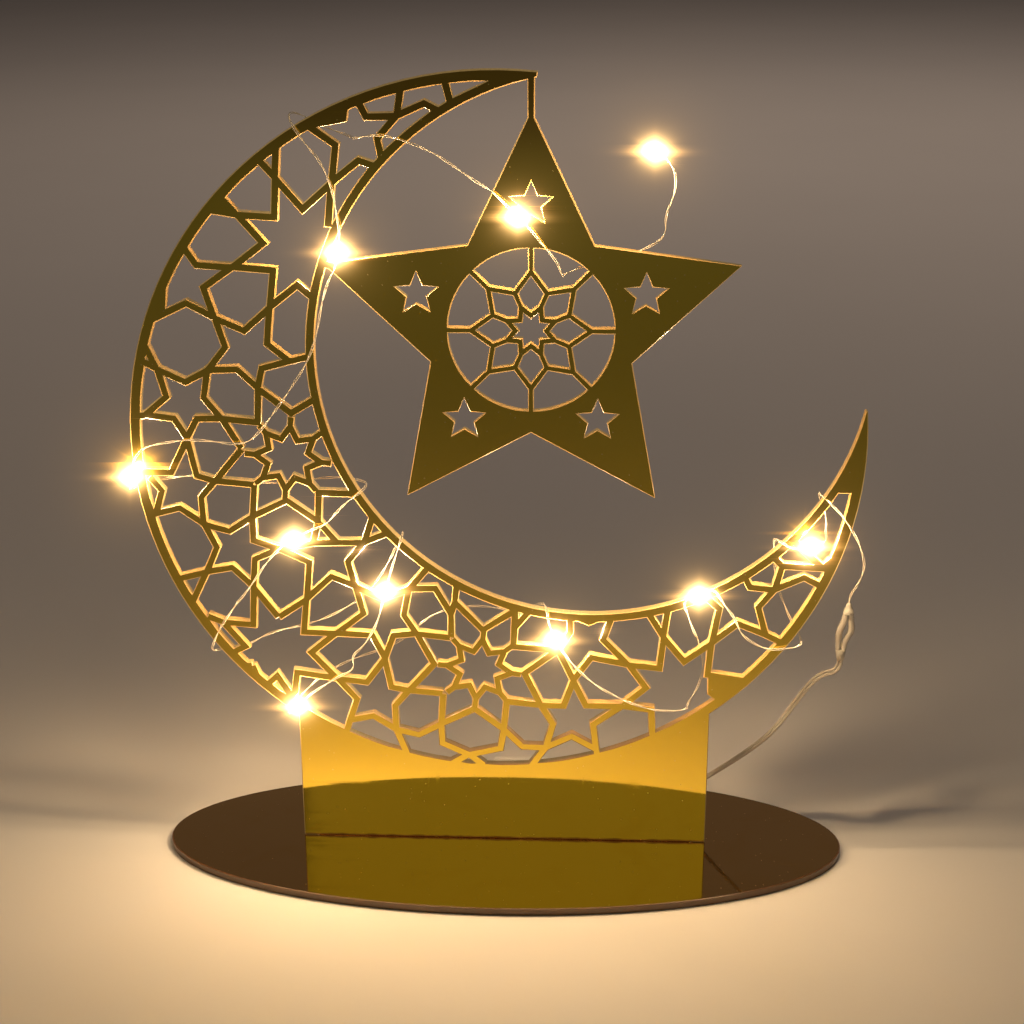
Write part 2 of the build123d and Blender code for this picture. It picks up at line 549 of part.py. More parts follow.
# Sizes of the battery box, worked out from what it holds
bay_size = cell_diameter + 2 * cell_clearance
case_width = bay_size + 2 * case_side_wall
case_height = case_wall + contact_thickness + 2 * cell_height + cell_headroom + cover_thickness
cover_length = case_wall + bay_size + cell_bay_margin
cover_width = bay_size + 2 * cover_lap
switch_bay_length = switch_body_length + 2 * switch_bay_margin
case_length = cover_length + partition_thickness + switch_bay_length + case_wall
case_right_x = case_left_x + case_length
case_middle_y = sheet_half + case_gap + case_width / 2
cell_centre = (case_left_x + case_wall + bay_size / 2, case_middle_y)
switch_bay_left_x = case_left_x + cover_length + partition_thickness
switch_centre_x = switch_bay_left_x + switch_bay_length / 2
switch_slot_length = knob_length + switch_travel + 2 * knob_clearance
switch_slot_width = knob_width + 2 * knob_clearance
relief_diameter = lead_diameter + 2 * relief_wall

# Lead from the battery box up to its sleeve
relief_start = Vector(case_right_x, case_middle_y, base_top + case_height / 2)
relief_end = relief_start + Vector(relief_length, 0, 0)
points = [relief_end, relief_end + Vector(lead_lead_out, 0, 0)] + [in_space(place) for place in lead_route_shares]
points += [split_bottom - Vector(0, 0, lead_lead_out), split_bottom]
lead, length, radii = cord_tube(points, lead_diameter)
finish(lead.part, "lead")
print("lead length", round(length, 1), "volume ratio",
      round(lead.part.volume / (length * math.pi * lead_diameter ** 2 / 4), 4),
      "radii", [round(radius, 1) for radius in radii])
with BuildPart() as strain_relief:
    with BuildSketch(Plane(origin=relief_start, x_dir=(0, 1, 0), z_dir=(1, 0, 0))):
        Circle(relief_diameter / 2)
    extrude(amount=relief_length)
finish(strain_relief.part, "strain_relief")

# Battery box: case with a cell bay, a switch bay and a channel for the cover
case_top = base_top + case_height
cover_bottom = case_top - cover_thickness
floor_top = base_top + case_wall
cover_shape = [(-cover_width / 2, 0), (cover_width / 2, 0), (cover_width / 2 - cover_bevel, cover_thickness),
               (cover_bevel - cover_width / 2, cover_thickness)]
channel_shape = [(-cover_width / 2 - cover_clearance, 0), (cover_width / 2 + cover_clearance, 0),
                 (cover_width / 2 + cover_clearance - cover_bevel, cover_thickness),
                 (cover_bevel - cover_clearance - cover_width / 2, cover_thickness)]
cover_end = Plane(origin=(case_left_x, case_middle_y, cover_bottom), x_dir=(0, 1, 0), z_dir=(1, 0, 0))

with BuildPart() as battery_case:
    with BuildSketch(Plane.XY.offset(base_top)):
        with Locations((case_left_x + case_length / 2, case_middle_y)):
            RectangleRounded(case_length, case_width, case_wall)
    extrude(amount=case_height)
    with BuildSketch(Plane.XY.offset(floor_top)):
        with Locations((case_left_x + cover_length / 2 + case_wall / 2, case_middle_y)):
            Rectangle(cover_length - case_wall, bay_size)
    extrude(amount=cover_bottom - floor_top, mode=Mode.SUBTRACT)
    with BuildSketch(cover_end):
        Polygon(*channel_shape, align=None)
    extrude(amount=cover_length + cover_clearance, mode=Mode.SUBTRACT)
    with BuildSketch(Plane.XY.offset(floor_top)):
        with Locations((switch_centre_x, case_middle_y)):
            Rectangle(switch_bay_length, bay_size)
    extrude(amount=cover_bottom - floor_top, mode=Mode.SUBTRACT)
    with BuildSketch(Plane.XY.offset(cover_bottom)):
        with Locations((switch_centre_x, case_middle_y)):
            Rectangle(switch_slot_length, switch_slot_width)
    extrude(amount=cover_thickness, mode=Mode.SUBTRACT)
finish(battery_case.part, "battery_case")

with BuildPart() as battery_cover:
    with BuildSketch(cover_end):
        Polygon(*cover_shape, align=None)
    extrude(amount=cover_length)
    with BuildSketch(Plane.XY.offset(case_top - cover_grip_depth)):
        with Locations((case_left_x + cover_length / 2, case_middle_y)):
            with GridLocations(cover_grip_pitch, cover_grip_width, 5, 1):
                Rectangle(cover_grip_length, cover_grip_width)
    extrude(amount=cover_grip_depth, mode=Mode.SUBTRACT)
finish(battery_cover.part, "battery_cover")

# Coin cells, stacked, each a can with a narrower cap underneath
for number in (1, 2):
    cell_bottom = floor_top + contact_thickness + (number - 1) * cell_height
    with BuildPart() as coin_cell:
        with BuildSketch(Plane.XY.offset(cell_bottom)):
            with Locations(cell_centre):
                Circle(cell_diameter / 2 - cell_cap_rim)
        extrude(amount=cell_can_step)
        with BuildSketch(Plane.XY.offset(cell_bottom + cell_can_step)):
            with Locations(cell_centre):
                Circle(cell_diameter / 2)
        extrude(amount=cell_height - cell_can_step)
    finish(coin_cell.part, "coin_cell_" + str(number))

with BuildPart() as bottom_contact:
    with BuildSketch(Plane.XY.offset(floor_top)):
        with Locations(cell_centre):
            Rectangle(contact_length, contact_width)
    extrude(amount=contact_thickness)
finish(bottom_contact.part, "bottom_contact")

with BuildPart() as side_contact:
    with BuildSketch(Plane.XY.offset(floor_top)):
        with Locations((cell_centre[0] + cell_diameter / 2 + contact_thickness / 2, case_middle_y)):
            Rectangle(contact_thickness, side_contact_width)
    extrude(amount=side_contact_height)
finish(side_contact.part, "side_contact")

# Slide switch under the case's roof
knob_start_x = switch_centre_x - switch_travel / 2
with BuildPart() as switch_body:
    with BuildSketch(Plane.XY.offset(cover_bottom - switch_body_height)):
        with Locations((switch_centre_x, case_middle_y)):
            Rectangle(switch_body_length, switch_body_width)
    extrude(amount=switch_body_height)
    with BuildSketch(Plane.XY.offset(cover_bottom - switch_slot_depth)):
        with Locations((switch_centre_x, case_middle_y)):
            Rectangle(switch_slot_length, switch_slot_width)
    extrude(amount=switch_slot_depth, mode=Mode.SUBTRACT)
finish(switch_body.part, "switch_body")

with BuildPart() as switch_knob:
    with BuildSketch(Plane.XY.offset(cover_bottom - switch_slot_depth)):
        with Locations((knob_start_x, case_middle_y)):
            Rectangle(knob_length, knob_width)
    extrude(amount=switch_slot_depth + cover_thickness + knob_rise)
finish(switch_knob.part, "switch_knob")
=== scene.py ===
"""Looks of the crescent table ornament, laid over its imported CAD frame.

Lengths are metres in the CAD part's frame: X runs along the ornament, the light string is in front at -Y,
Z is up, and the origin is the centre of the base's underside.
"""

import json
import math

import bmesh
import bpy
from bpy.props import FloatProperty, FloatVectorProperty, IntProperty
from mathutils import Matrix, Vector

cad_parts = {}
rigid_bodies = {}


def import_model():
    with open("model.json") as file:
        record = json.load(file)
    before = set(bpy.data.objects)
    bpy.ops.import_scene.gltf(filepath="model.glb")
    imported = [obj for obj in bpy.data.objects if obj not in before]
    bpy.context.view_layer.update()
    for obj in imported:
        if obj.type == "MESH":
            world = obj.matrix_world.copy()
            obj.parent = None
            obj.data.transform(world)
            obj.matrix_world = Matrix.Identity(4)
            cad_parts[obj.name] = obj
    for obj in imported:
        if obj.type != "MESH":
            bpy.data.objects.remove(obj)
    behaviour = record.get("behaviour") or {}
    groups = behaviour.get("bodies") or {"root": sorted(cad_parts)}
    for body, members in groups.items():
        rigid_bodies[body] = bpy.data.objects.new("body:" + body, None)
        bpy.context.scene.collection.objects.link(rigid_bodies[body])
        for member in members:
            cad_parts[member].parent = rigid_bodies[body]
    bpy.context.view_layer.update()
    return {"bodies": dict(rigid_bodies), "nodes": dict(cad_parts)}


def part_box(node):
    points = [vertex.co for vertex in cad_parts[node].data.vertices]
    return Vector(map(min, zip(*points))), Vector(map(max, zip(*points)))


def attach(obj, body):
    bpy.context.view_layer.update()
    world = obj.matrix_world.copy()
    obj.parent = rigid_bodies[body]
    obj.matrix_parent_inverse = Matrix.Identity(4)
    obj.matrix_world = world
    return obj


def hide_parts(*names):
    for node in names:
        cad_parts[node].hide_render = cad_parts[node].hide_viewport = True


bl_info = {
    "name": "Crescent table ornament",
    "version": (1, 0, 0),
    "blender": (4, 5, 0),
    "location": "View3D > Sidebar > Crescent",
    "description": "Pieces, finishes and stage of a crescent table ornament with a light string",
    "category": "Add Mesh",
}

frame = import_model()

# Places on the sheet. Shares are parts of the crescent's radius, measured from its centre. Lane -1 is the
# layer of wire in front of the sheet, lane 1 the one behind it, and 0 the sheet's own middle.
CRESCENT_RADIUS = 0.095
CRESCENT_X = -0.00145
CRESCENT_HEIGHT = 0.1175
LANE_OFFSET = 0.00165
BEAD_OFFSET = 0.0029
BEAD_HALF = 0.0025
BEAD_LEAD_OUT = 0.002
SLEEVE_LENGTH = 0.003
SLEEVE_LEAD_OUT = 0.0022
LEAD_LEAD_OUT = 0.0034

# Beads: shares across and up, and the angle of the string through the bead in degrees
BEADS = {
    "01": (.410, .795, -35), "02": (.060, .630, -45), "03": (-.410, .535, 80), "04": (-1.000, -.090, 80),
    "05": (-.560, -.270, 32), "06": (-.310, -.420, 75), "07": (-.570, -.780, 45), "08": (.165, -.560, -65),
    "09": (.560, -.420, 25), "10": (.860, -.270, 18),
}
LEVEL_BEAD = "01"

# Tops of the two sleeves: shares and lane
SPLICE = (.9825, -.460, 1.2)
SPLIT = (.969, -.6050, 1.6)

# Wire between the beads: the bead and end it leaves, the bead and end it reaches, and its shares and lanes.
WIRES = {
    "feed": ("splice", +1, "10", +1, [
        (1.005, -.400, .9), (1.013, -.365, .5), (1.015, -.330, 0), (1.000, -.285, -.6), (.985, -.250, -1),
        (.960, -.210, -1), (.925, -.165, -1), (.882, -.128, -1), (.876, -.126, 1), (.905, -.200, 1),
        (.905, -.255, 1)]),
    "10_09": ("10", -1, "09", +1, [
        (.768, -.254, -1.4), (.762, -.266, 1), (.775, -.400, 1), (.820, -.510, 1), (.853, -.562, 1),
        (.853, -.578, -1), (.800, -.588, -1), (.760, -.590, -1), (.716, -.571, -1), (.680, -.540, -1),
        (.665, -.496, -1), (.625, -.445, -1)]),
    "09_08": ("09", -1, "08", +1, [
        (.530, -.485, -1), (.560, -.560, -1), (.560, -.560, 1), (.585, -.640, 1), (.575, -.720, 1),
        (.540, -.780, 1), (.540, -.780, -1), (.490, -.788, -1), (.430, -.782, -1), (.370, -.760, -1),
        (.330, -.740, -1), (.280, -.710, -1), (.235, -.670, -1)]),
    "08_07": ("08", -1, "07", -1, [
        (.138, -.468, -1.2), (.128, -.468, 1), (.060, -.500, 1), (-.060, -.480, 1), (-.150, -.495, 1),
        (-.210, -.530, 1), (-.270, -.592, 1), (-.335, -.625, 1), (-.410, -.650, 1), (-.500, -.700, 1),
        (-.560, -.760, 1), (-.605, -.815, 1)]),
    "07_06": ("07", +1, "06", -1, [
        (-.500, -.725, -1), (-.455, -.695, -1), (-.405, -.670, -1), (-.415, -.630, -1), (-.380, -.600, -1),
        (-.350, -.550, -1), (-.333, -.510, -1)]),
    "06_05": ("06", +1, "05", -1, [
        (-.285, -.335, -1), (-.260, -.257, -1), (-.260, -.257, 1), (-.312, -.370, 1), (-.370, -.455, 1),
        (-.460, -.515, 1), (-.540, -.548, 1), (-.600, -.560, 1), (-.660, -.580, 1), (-.720, -.618, 1),
        (-.805, -.632, 1), (-.817, -.619, -1), (-.790, -.555, -1), (-.740, -.480, -1), (-.695, -.425, -1),
        (-.650, -.355, -1)]),
    "05_04": ("05", +1, "04", -1, [
        (-.470, -.232, -1), (-.427, -.176, -1), (-.357, -.122, -1), (-.358, -.114, 1), (-.460, -.100, 1),
        (-.600, -.130, 1), (-.750, -.105, 1), (-.880, -.104, 1), (-1.0082, -.1367, 1)]),
    "04_03": ("04", +1, "03", -1, [
        (-.965, -.012, -1), (-.910, .002, -1), (-.840, .012, -1), (-.770, .008, -1), (-.700, -.003, -1),
        (-.655, .020, -1), (-.607, .082, -1), (-.543, .172, -1), (-.500, .240, -1), (-.475, .310, -1),
        (-.460, .390, -1), (-.440, .455, -1)]),
    "03_02": ("03", +1, "02", -1, [
        (-.412, .640, -1), (-.420, .700, -1), (-.449, .772, -1), (-.490, .817, -1), (-.530, .882, -1),
        (-.516, .892, 1), (-.440, .850, 1), (-.365, .825, 1), (-.365, .825, -1), (-.300, .838, -1),
        (-.240, .825, -1), (-.150, .790, -1), (-.060, .725, -1), (-.010, .698, -1.3)]),
    "02_01": ("02", +1, "01", +1, [
        (.120, .560, -1), (.161, .512, -1), (.178, .468, -1), (.178, .468, 1), (.250, .500, 1),
        (.330, .518, 1), (.400, .540, 1), (.446, .575, .4), (.440, .625, 0), (.465, .685, 0),
        (.466, .735, 0)]),
}

# Lead, from the battery box up to the lower sleeve
LEAD = [
    (.589, -1.110, 9.1), (.6625, -1.038, 7.3), (.735, -.970, 6.1), (.8025, -.892, 4.8), (.867, -.768, 3.6),
    (.915, -.692, 2.6),
]
RELIEF_END = Vector((0.045, 0.0172, 0.0068))

# Strands inside the lead and the cores, and the steps along them
WIRE_STEP = 0.0004
LEAD_STEP = 0.0006
INNER_STRAND_RADIUS = 0.00016
LEAD_HALF_SHARE = 0.26
LEAD_SPREAD_SHARE = 0.24
LEAD_TURN_LENGTH = 0.4
CORE_TURN_LENGTH = 0.01
CORE_JACKET_RADIUS = 0.001
CORE_SPACING = 0.0015
CORES = {"left": (-1, [(.961, -.548, 1.5)]), "right": (+1, [(.997, -.545, 1.5)])}
CORE_WIDTHS = [.72, .82, 1.0, .85, .70]

# Rings of the two sleeves: height above the sleeve's bottom, and radius
SPLICE_PROFILE = [
    (0, .00135), (.0004, .00139), (.0011, .00125), (.0017, .0009), (.0023, .00072), (.0027, .00070),
    (.0030, .00048)]
SPLIT_PROFILE = [
    (0, .00094), (.0004, .00106), (.0010, .00118), (.0018, .00132), (.0025, .00139), (.0030, .00128)]

# Boot of the battery box: radius at the box, rings, and how deep each third ring is cut
BOOT_RADIUS = 0.0018
BOOT_RINGS = 13
BOOT_GROOVE_SHARE = 0.86

# Chip in a bead, the lamp in front of it, and the rings of the bead
CHIP_SIZE = (0.0016, 0.0008, 0.0007)
CHIP_ROUND = 0.00008
LAMP_RADIUS = 0.0012
LAMP_FORWARD = 0.0034
DROP_RINGS = 14

# Materials of a sheet: mirror in front, cut edge, lacquer behind. A face belongs to the front or the back
# when its normal's share in that direction is above FACING. The line round the front slants back by a share
# of its width.
MIRROR, EDGE, BACKING = 0, 1, 2
FACING = 0.99
LINE_SLANT = 0.5
UNFOLD_PASSES = 6

# Heights over which the painted shade where the foot meets the base and the painted highlight line over it
# begin and end, and over which the sheet's edge turns from the base's brown to amber
FOOT_SHADE_BEGINS, FOOT_SHADE_ENDS = (0.0018, 0.00205), (0.0031, 0.0028)
FOOT_HIGHLIGHT_BEGINS, FOOT_HIGHLIGHT_ENDS = (0.00225, 0.0024), (0.0027, 0.00255)
EDGE_BROWN_TO_AMBER = (0.034, 0.052)

# Camera of the photograph: place, turns in degrees, and lens and film width in millimetres
CAMERA_PLACE = (0.022254, -0.443507, 0.264634)
CAMERA_YAW, CAMERA_DOWN, CAMERA_ROLL = 2.545, 20.449, -0.178
CAMERA_LENS, CAMERA_FILM = 63.72, 36

# Lamps: size, place, aim and colour
LAMPS = {
    "back": ((0.9, 0.6), (0.30, 1.25, 1.45), (0.15, 1.35, 0), (1.0, 0.80, 0.66)),
    "low_back": ((1.6, 0.6), (0, 1.5, 0.85), (0, 0, 0), (1.0, 0.76, 0.52)),
    "front": ((0.50, 0.34), (0, -1.1, 0.62), (0, 0, 0.03), (0.84, 1.0, 0.52)),
}
SURROUND_COLOUR = (1.0, 0.80, 0.70)

# Glare round the lit beads, one layer over the other
STREAK_TINT = (1.0, 0.80, 0.50, 1)
GLARES = [
    ("FOG_GLOW", {"Threshold": 5.0, "Maximum": 45.0, "Strength": 1.5, "Size": 0.07,
                  "Tint": (1.0, 0.94, 0.78, 1)}),
    ("BLOOM", {"Threshold": 8.0, "Maximum": 40.0, "Strength": 0.08, "Size": 0.15,
               "Tint": (1.0, 0.86, 0.55, 1)}),
    ("STREAKS", {"Threshold": 8.0, "Maximum": 24.0, "Strength": 0.10, "Streaks": 2, "Streaks Angle": 0.0,
                 "Fade": 0.86, "Tint": STREAK_TINT}),
    ("STREAKS", {"Threshold": 8.0, "Maximum": 24.0, "Strength": 0.05, "Streaks": 6, "Streaks Angle": 0.5,
                 "Fade": 0.78, "Tint": STREAK_TINT}),
]

# Sockets of a Mix node that blends colours: factor, both colours and the result
MIX_FACTOR, MIX_FIRST, MIX_SECOND, MIX_RESULT = 0, 6, 7, 2


# Sizes and colours that a user may change

LENGTH = {"unit": "LENGTH", "min": 0.00001, "precision": 5}
COLOUR = {"subtype": "COLOR", "size": 3, "min": 0, "max": 1}
POWER = {"unit": "POWER", "min": 0, "precision": 4}


class CrescentWireSizes(bpy.types.PropertyGroup):
    strand_diameter: FloatProperty(
        name="Strand diameter", description="Diameter of one lacquered strand of the string",
        default=0.00023, **LENGTH)
    twist_radius: FloatProperty(
        name="Twist radius", description="Distance of a strand's centre from the middle of the pair",
        default=0.00021, **LENGTH)
    twist_pitch: FloatProperty(
        name="Twist pitch", description="Length of one full turn of the pair", default=0.017, **LENGTH)
    wire_diameter: FloatProperty(
        name="Wire diameter", description="Diameter over both strands", default=0.0007, **LENGTH)
    lead_diameter: FloatProperty(
        name="Lead diameter", description="Diameter of the clear lead", default=0.0018, **LENGTH)
    wire_colour: FloatVectorProperty(
        name="Wire colour", description="Colour of the lacquered strands", default=(0.90, 0.80, 0.64),
        **COLOUR)
    jacket_colour: FloatVectorProperty(
        name="Jacket colour", description="Tint of the lead's clear jacket", default=(0.94, 0.86, 0.76),
        **COLOUR)


class CrescentLightSizes(bpy.types.PropertyGroup):
    bead_diameter: FloatProperty(
        name="Bead diameter", description="Widest part of a resin bead", default=0.0032, **LENGTH)
    bead_length: FloatProperty(
        name="Bead length", description="Length of a resin bead along the string", default=0.005, **LENGTH)
    light_colour: FloatVectorProperty(
        name="Light colour", description="Warm white of the beads", default=(1.0, 0.69, 0.37), **COLOUR)
    light_power: FloatProperty(
        name="Light power", description="Power of each bead's lamp", default=0.075, **POWER)
    bead_glow: FloatProperty(
        name="Bead glow", description="Emission strength of a lit bead", default=40.0, min=0)


class CrescentSheetSizes(bpy.types.PropertyGroup):
    gold_colour: FloatVectorProperty(
        name="Gold colour", description="Tint of the mirror film", default=(0.90, 0.66, 0.07), **COLOUR)
    edge_colour: FloatVectorProperty(
        name="Edge colour", description="Colour of the upright sheet's edges", default=(0.66, 0.36, 0.09),
        **COLOUR)
    base_edge_colour: FloatVectorProperty(
        name="Base edge colour", description="Colour of the oval base's edge", default=(0.11, 0.04, 0.01),
        **COLOUR)
    line_width: FloatProperty(
        name="Line width", description="Width of the bright line round each front edge", default=0.00028,
        **LENGTH)
    back_colour: FloatVectorProperty(
        name="Back colour", description="Lacquer behind the mirror film", default=(0.20, 0.16, 0.09),
        **COLOUR)
    glow_reach: FloatProperty(
        name="Glow reach", description="Distance at which a bead's light in an edge has fallen to half",
        default=0.008, **LENGTH)


class CrescentBoxSizes(bpy.types.PropertyGroup):
    edge_round: FloatProperty(
        name="Edge round", description="Rounding of the moulded edges", default=0.00025, **LENGTH)
    round_segments: IntProperty(
        name="Round segments", description="Steps across a rounded edge", default=3, min=1, max=8)
    case_colour: FloatVectorProperty(
        name="Case colour", description="Colour of the battery box", default=(0.78, 0.76, 0.72), **COLOUR)


class CrescentStageSizes(bpy.types.PropertyGroup):
    floor_radius: FloatProperty(
        name="Floor radius", description="Radius of the pale floor", default=6.0, **LENGTH)
    floor_colour: FloatVectorProperty(
        name="Floor colour", description="Colour of the pale floor", default=(0.74, 0.71, 0.68), **COLOUR)
    back_power: FloatProperty(
        name="Back lamp power", description="Power of the soft lamp above and behind", default=5.6, **POWER)
    low_back_power: FloatProperty(
        name="Low back lamp power", description="Power of the faint lamp that the base mirrors",
        default=0.46, **POWER)
    front_power: FloatProperty(
        name="Front lamp power", description="Power of the small soft lamp in front", default=0.36, **POWER)
    sky_strength: FloatProperty(
        name="Surround strength", description="Brightness of the even surround", default=0.042, min=0)


SIZE_GROUPS = {
    "crescent_wire": CrescentWireSizes,
    "crescent_light": CrescentLightSizes,
    "crescent_sheet": CrescentSheetSizes,
    "crescent_box": CrescentBoxSizes,
    "crescent_stage": CrescentStageSizes,
}


# Shader building


class Value:
    """A shader socket. Arithmetic on it adds Math nodes."""

    def __init__(self, finish, socket):
        self.finish = finish
        self.socket = socket

    def math(self, operation, *others):
        values = dict(enumerate((self, *others)))
        return self.finish.add("ShaderNodeMath", {"operation": operation}, values)

    def __add__(self, other):
        return self.math("ADD", other)

    def __mul__(self, other):
        return self.math("MULTIPLY", other)

    def __sub__(self, other):
        return self.math("SUBTRACT", other)

    def __truediv__(self, other):
        return self.math("DIVIDE", other)

    def __rsub__(self, other):
        return self.finish.add("ShaderNodeMath", {"operation": "SUBTRACT"}, {0: other, 1: self})

    def __rtruediv__(self, other):
        return self.finish.add("ShaderNodeMath", {"operation": "DIVIDE"}, {0: other, 1: self})

    __radd__ = __add__
    __rmul__ = __mul__


class Finish:
    """A material under construction, on object coordinates."""

    def __init__(self, name, **constants):
        self.material = bpy.data.materials.new(name)
        self.material.use_nodes = True
        self.nodes = self.material.node_tree.nodes
        self.links = self.material.node_tree.links
        self.surface = self.nodes["Principled BSDF"]
        for socket, value in constants.items():
            self.surface.inputs[socket.replace("_", " ")].default_value = value

    def add(self, kind, settings=None, values=None, output=0):
        """Output of a new node, whose settings are set before the values or links of its sockets."""
        node = self.nodes.new(kind)
        for name, value in (settings or {}).items():
            setattr(node, name, value)
        for name, value in (values or {}).items():
            if isinstance(value, Value):
                self.links.new(value.socket, node.inputs[name])
            else:
                node.inputs[name].default_value = value
        return Value(self, node.outputs[output])

    def coordinates(self):
        """Place on the piece, in metres."""
        return self.add("ShaderNodeTexCoord", output="Object")

    def stretched(self, scale=(1, 1, 1)):
        """Place on the piece, stretched by a scale."""
        return self.add("ShaderNodeMapping", values={"Vector": self.coordinates(), "Scale": scale})

    def noise(self, scale, detail=3.0, roughness=0.5, stretch=(1, 1, 1), distortion=0.0):
        return self.add("ShaderNodeTexNoise", values={
            "Vector": self.stretched(stretch), "Scale": scale, "Detail": detail, "Roughness": roughness,
            "Distortion": distortion}, output="Fac")

    def specks(self, scale, size, softness):
        """Small round marks, 1 inside a mark and 0 outside."""
        distance = self.add("ShaderNodeTexVoronoi", values={
            "Vector": self.stretched(), "Scale": scale}, output="Distance")
        return self.fit(distance, size + softness, size)

    def fit(self, value, low, high, to_low=0.0, to_high=1.0):
        """A value brought from one range to another and kept inside it."""
        return self.add("ShaderNodeMapRange", {"clamp": True}, {
            "Value": value, "From Min": low, "From Max": high, "To Min": to_low, "To Max": to_high})

    def blend(self, factor, first, second):
        """A colour between two colours."""
        first, second = (
            colour if isinstance(colour, Value) else (*colour, 1) for colour in (first, second))
        return self.add("ShaderNodeMix", {"data_type": "RGBA"}, {
            MIX_FACTOR: factor, MIX_FIRST: first, MIX_SECOND: second}, output=MIX_RESULT)

    def tint(self, colour, strength):
        """A colour made darker or brighter by a value."""
        return self.add("ShaderNodeVectorMath", {"operation": "SCALE"}, {0: colour, "Scale": strength})

    def distance_to(self, point):
        return self.add("ShaderNodeVectorMath", {"operation": "DISTANCE"}, {
            0: self.coordinates(), 1: point}, output="Value")

    def height(self):
        return self.add("ShaderNodeSeparateXYZ", values={"Vector": self.coordinates()}, output="Z")

    def attribute(self, name):
        return self.add("ShaderNodeAttribute", {"attribute_name": name}, output="Fac")

    def bump(self, height, distance, strength):
        normal = self.add("ShaderNodeBump", values={
            "Height": height, "Distance": distance, "Strength": strength})
        self.links.new(normal.socket, self.surface.inputs["Normal"])

    def drive(self, **sockets):
        """Link what changes over the surface."""
        for name, value in sockets.items():
            self.links.new(value.socket, self.surface.inputs[name.replace("_", " ")])


def dimmed(colour, share):
    """A colour at a share of its brightness."""
    return tuple(channel * share for channel in colour)


def painted_bead_glow(finish, reach):
    """Painted glow of all the beads at a place, falling off with distance."""
    total = None
    for number in BEADS:
        distance = finish.distance_to(tuple(bead_centre(number))) / reach
        share = 1 / (1 + distance * distance)
        total = share if total is None else total + share
    return total


def mirror_finish(sizes):
    """Gold mirror film under a clear sheet, with smears, dust, hairlines, painted shade and a painted
    highlight at the foot.
    """
    finish = Finish("gold_mirror", Metallic=1.0, Coat_Roughness=0.02, Coat_IOR=1.49, IOR=1.49)
    broad = finish.noise(11, 2)
    smears = finish.fit(finish.noise(42, 5, 0.62, distortion=1.4), 0.52, 0.74)
    hairlines = finish.fit(finish.noise(620, 2, 0.4, stretch=(0.05, 1, 1)), 0.63, 0.72)
    cross_lines = finish.fit(finish.noise(560, 2, 0.4, stretch=(1, 1, 0.06)), 0.65, 0.74)
    dust = finish.specks(420, 0.05, 0.05)
    colour = finish.blend(broad, dimmed(sizes.gold_colour, 0.86), sizes.gold_colour)
    colour = finish.blend(dust * 0.3, colour, (0.8, 0.76, 0.66))
    # Painted shade in dark brown where the foot meets the base, with a painted highlight line in amber inside
    # it; a stretched noise roughens both
    foot_shade_noise = finish.noise(340, 2, stretch=(1, 0.1, 0.3))
    height = finish.height()
    painted_foot_shade = finish.fit(height + foot_shade_noise * 0.0006, *FOOT_SHADE_ENDS) * finish.fit(height, *FOOT_SHADE_BEGINS)
    painted_foot_highlight = finish.fit(height, *FOOT_HIGHLIGHT_BEGINS) * finish.fit(height, *FOOT_HIGHLIGHT_ENDS) * foot_shade_noise
    colour = finish.blend(painted_foot_shade, colour, (0.16, 0.035, 0.008))
    colour = finish.blend(painted_foot_highlight, colour, (0.95, 0.55, 0.16))
    finish.drive(
        Base_Color=colour,
        Roughness=0.035 + broad * 0.02 + smears * 0.05 + (hairlines + cross_lines) * 0.05 + dust * 0.25,
        Coat_Weight=finish.fit(smears, 0, 1, 0.6, 0.4))
    finish.bump(finish.noise(26, 2) + hairlines * 0.02, 0.00012, 0.35)
    return finish.material


def edge_finish(name, colour, sizes, strength):
    """Cut edge of a sheet: finely ribbed by the cut, brown near the base, with a painted glow bright near a
    bead.
    """
    finish = Finish(name, Roughness=0.3, Coat_Weight=0.4, Coat_Roughness=0.1, IOR=1.49,
                    Emission_Strength=strength)
    ribs = finish.noise(2400, 2, stretch=(1, 0.02, 1))
    patches = finish.noise(60, 3)
    glow = painted_bead_glow(finish, sizes.glow_reach)
    base = finish.blend(patches, dimmed(colour, 0.6), colour)
    base = finish.blend(finish.fit(finish.height(), *EDGE_BROWN_TO_AMBER), sizes.base_edge_colour, base)
    # Painted glow: emission that stands in for the beads' light carried through the cut edges, with a faint
    # glow everywhere
    light = finish.tint((1.0, 0.66, 0.22), glow * (0.6 + ribs * 0.8) * 1.3 + 0.010)
    finish.drive(Base_Color=base, Emission_Color=light)
    finish.bump(ribs, 0.00004, 0.5)
    return finish.material


def backing_finish(sizes):
    """Lacquer behind the mirror film, with rolled grain and rubbed spots."""
    finish = Finish("mirror_backing", IOR=1.45, Coat_Weight=0.15, Coat_Roughness=0.3)
    grain = finish.noise(900, 3)
    cloud = finish.noise(24, 4)
    rubs = finish.fit(finish.noise(130, 4, 0.7), 0.62, 0.8)
    colour = finish.blend(cloud, dimmed(sizes.back_colour, 0.8), sizes.back_colour)
    colour = finish.blend(rubs * 0.35, colour, sizes.gold_colour)
    finish.drive(Base_Color=colour, Roughness=0.42 + grain * 0.2 + rubs * 0.1, Metallic=rubs * 0.6 + 0.25)
    finish.bump(grain, 0.00003, 0.4)
    return finish.material


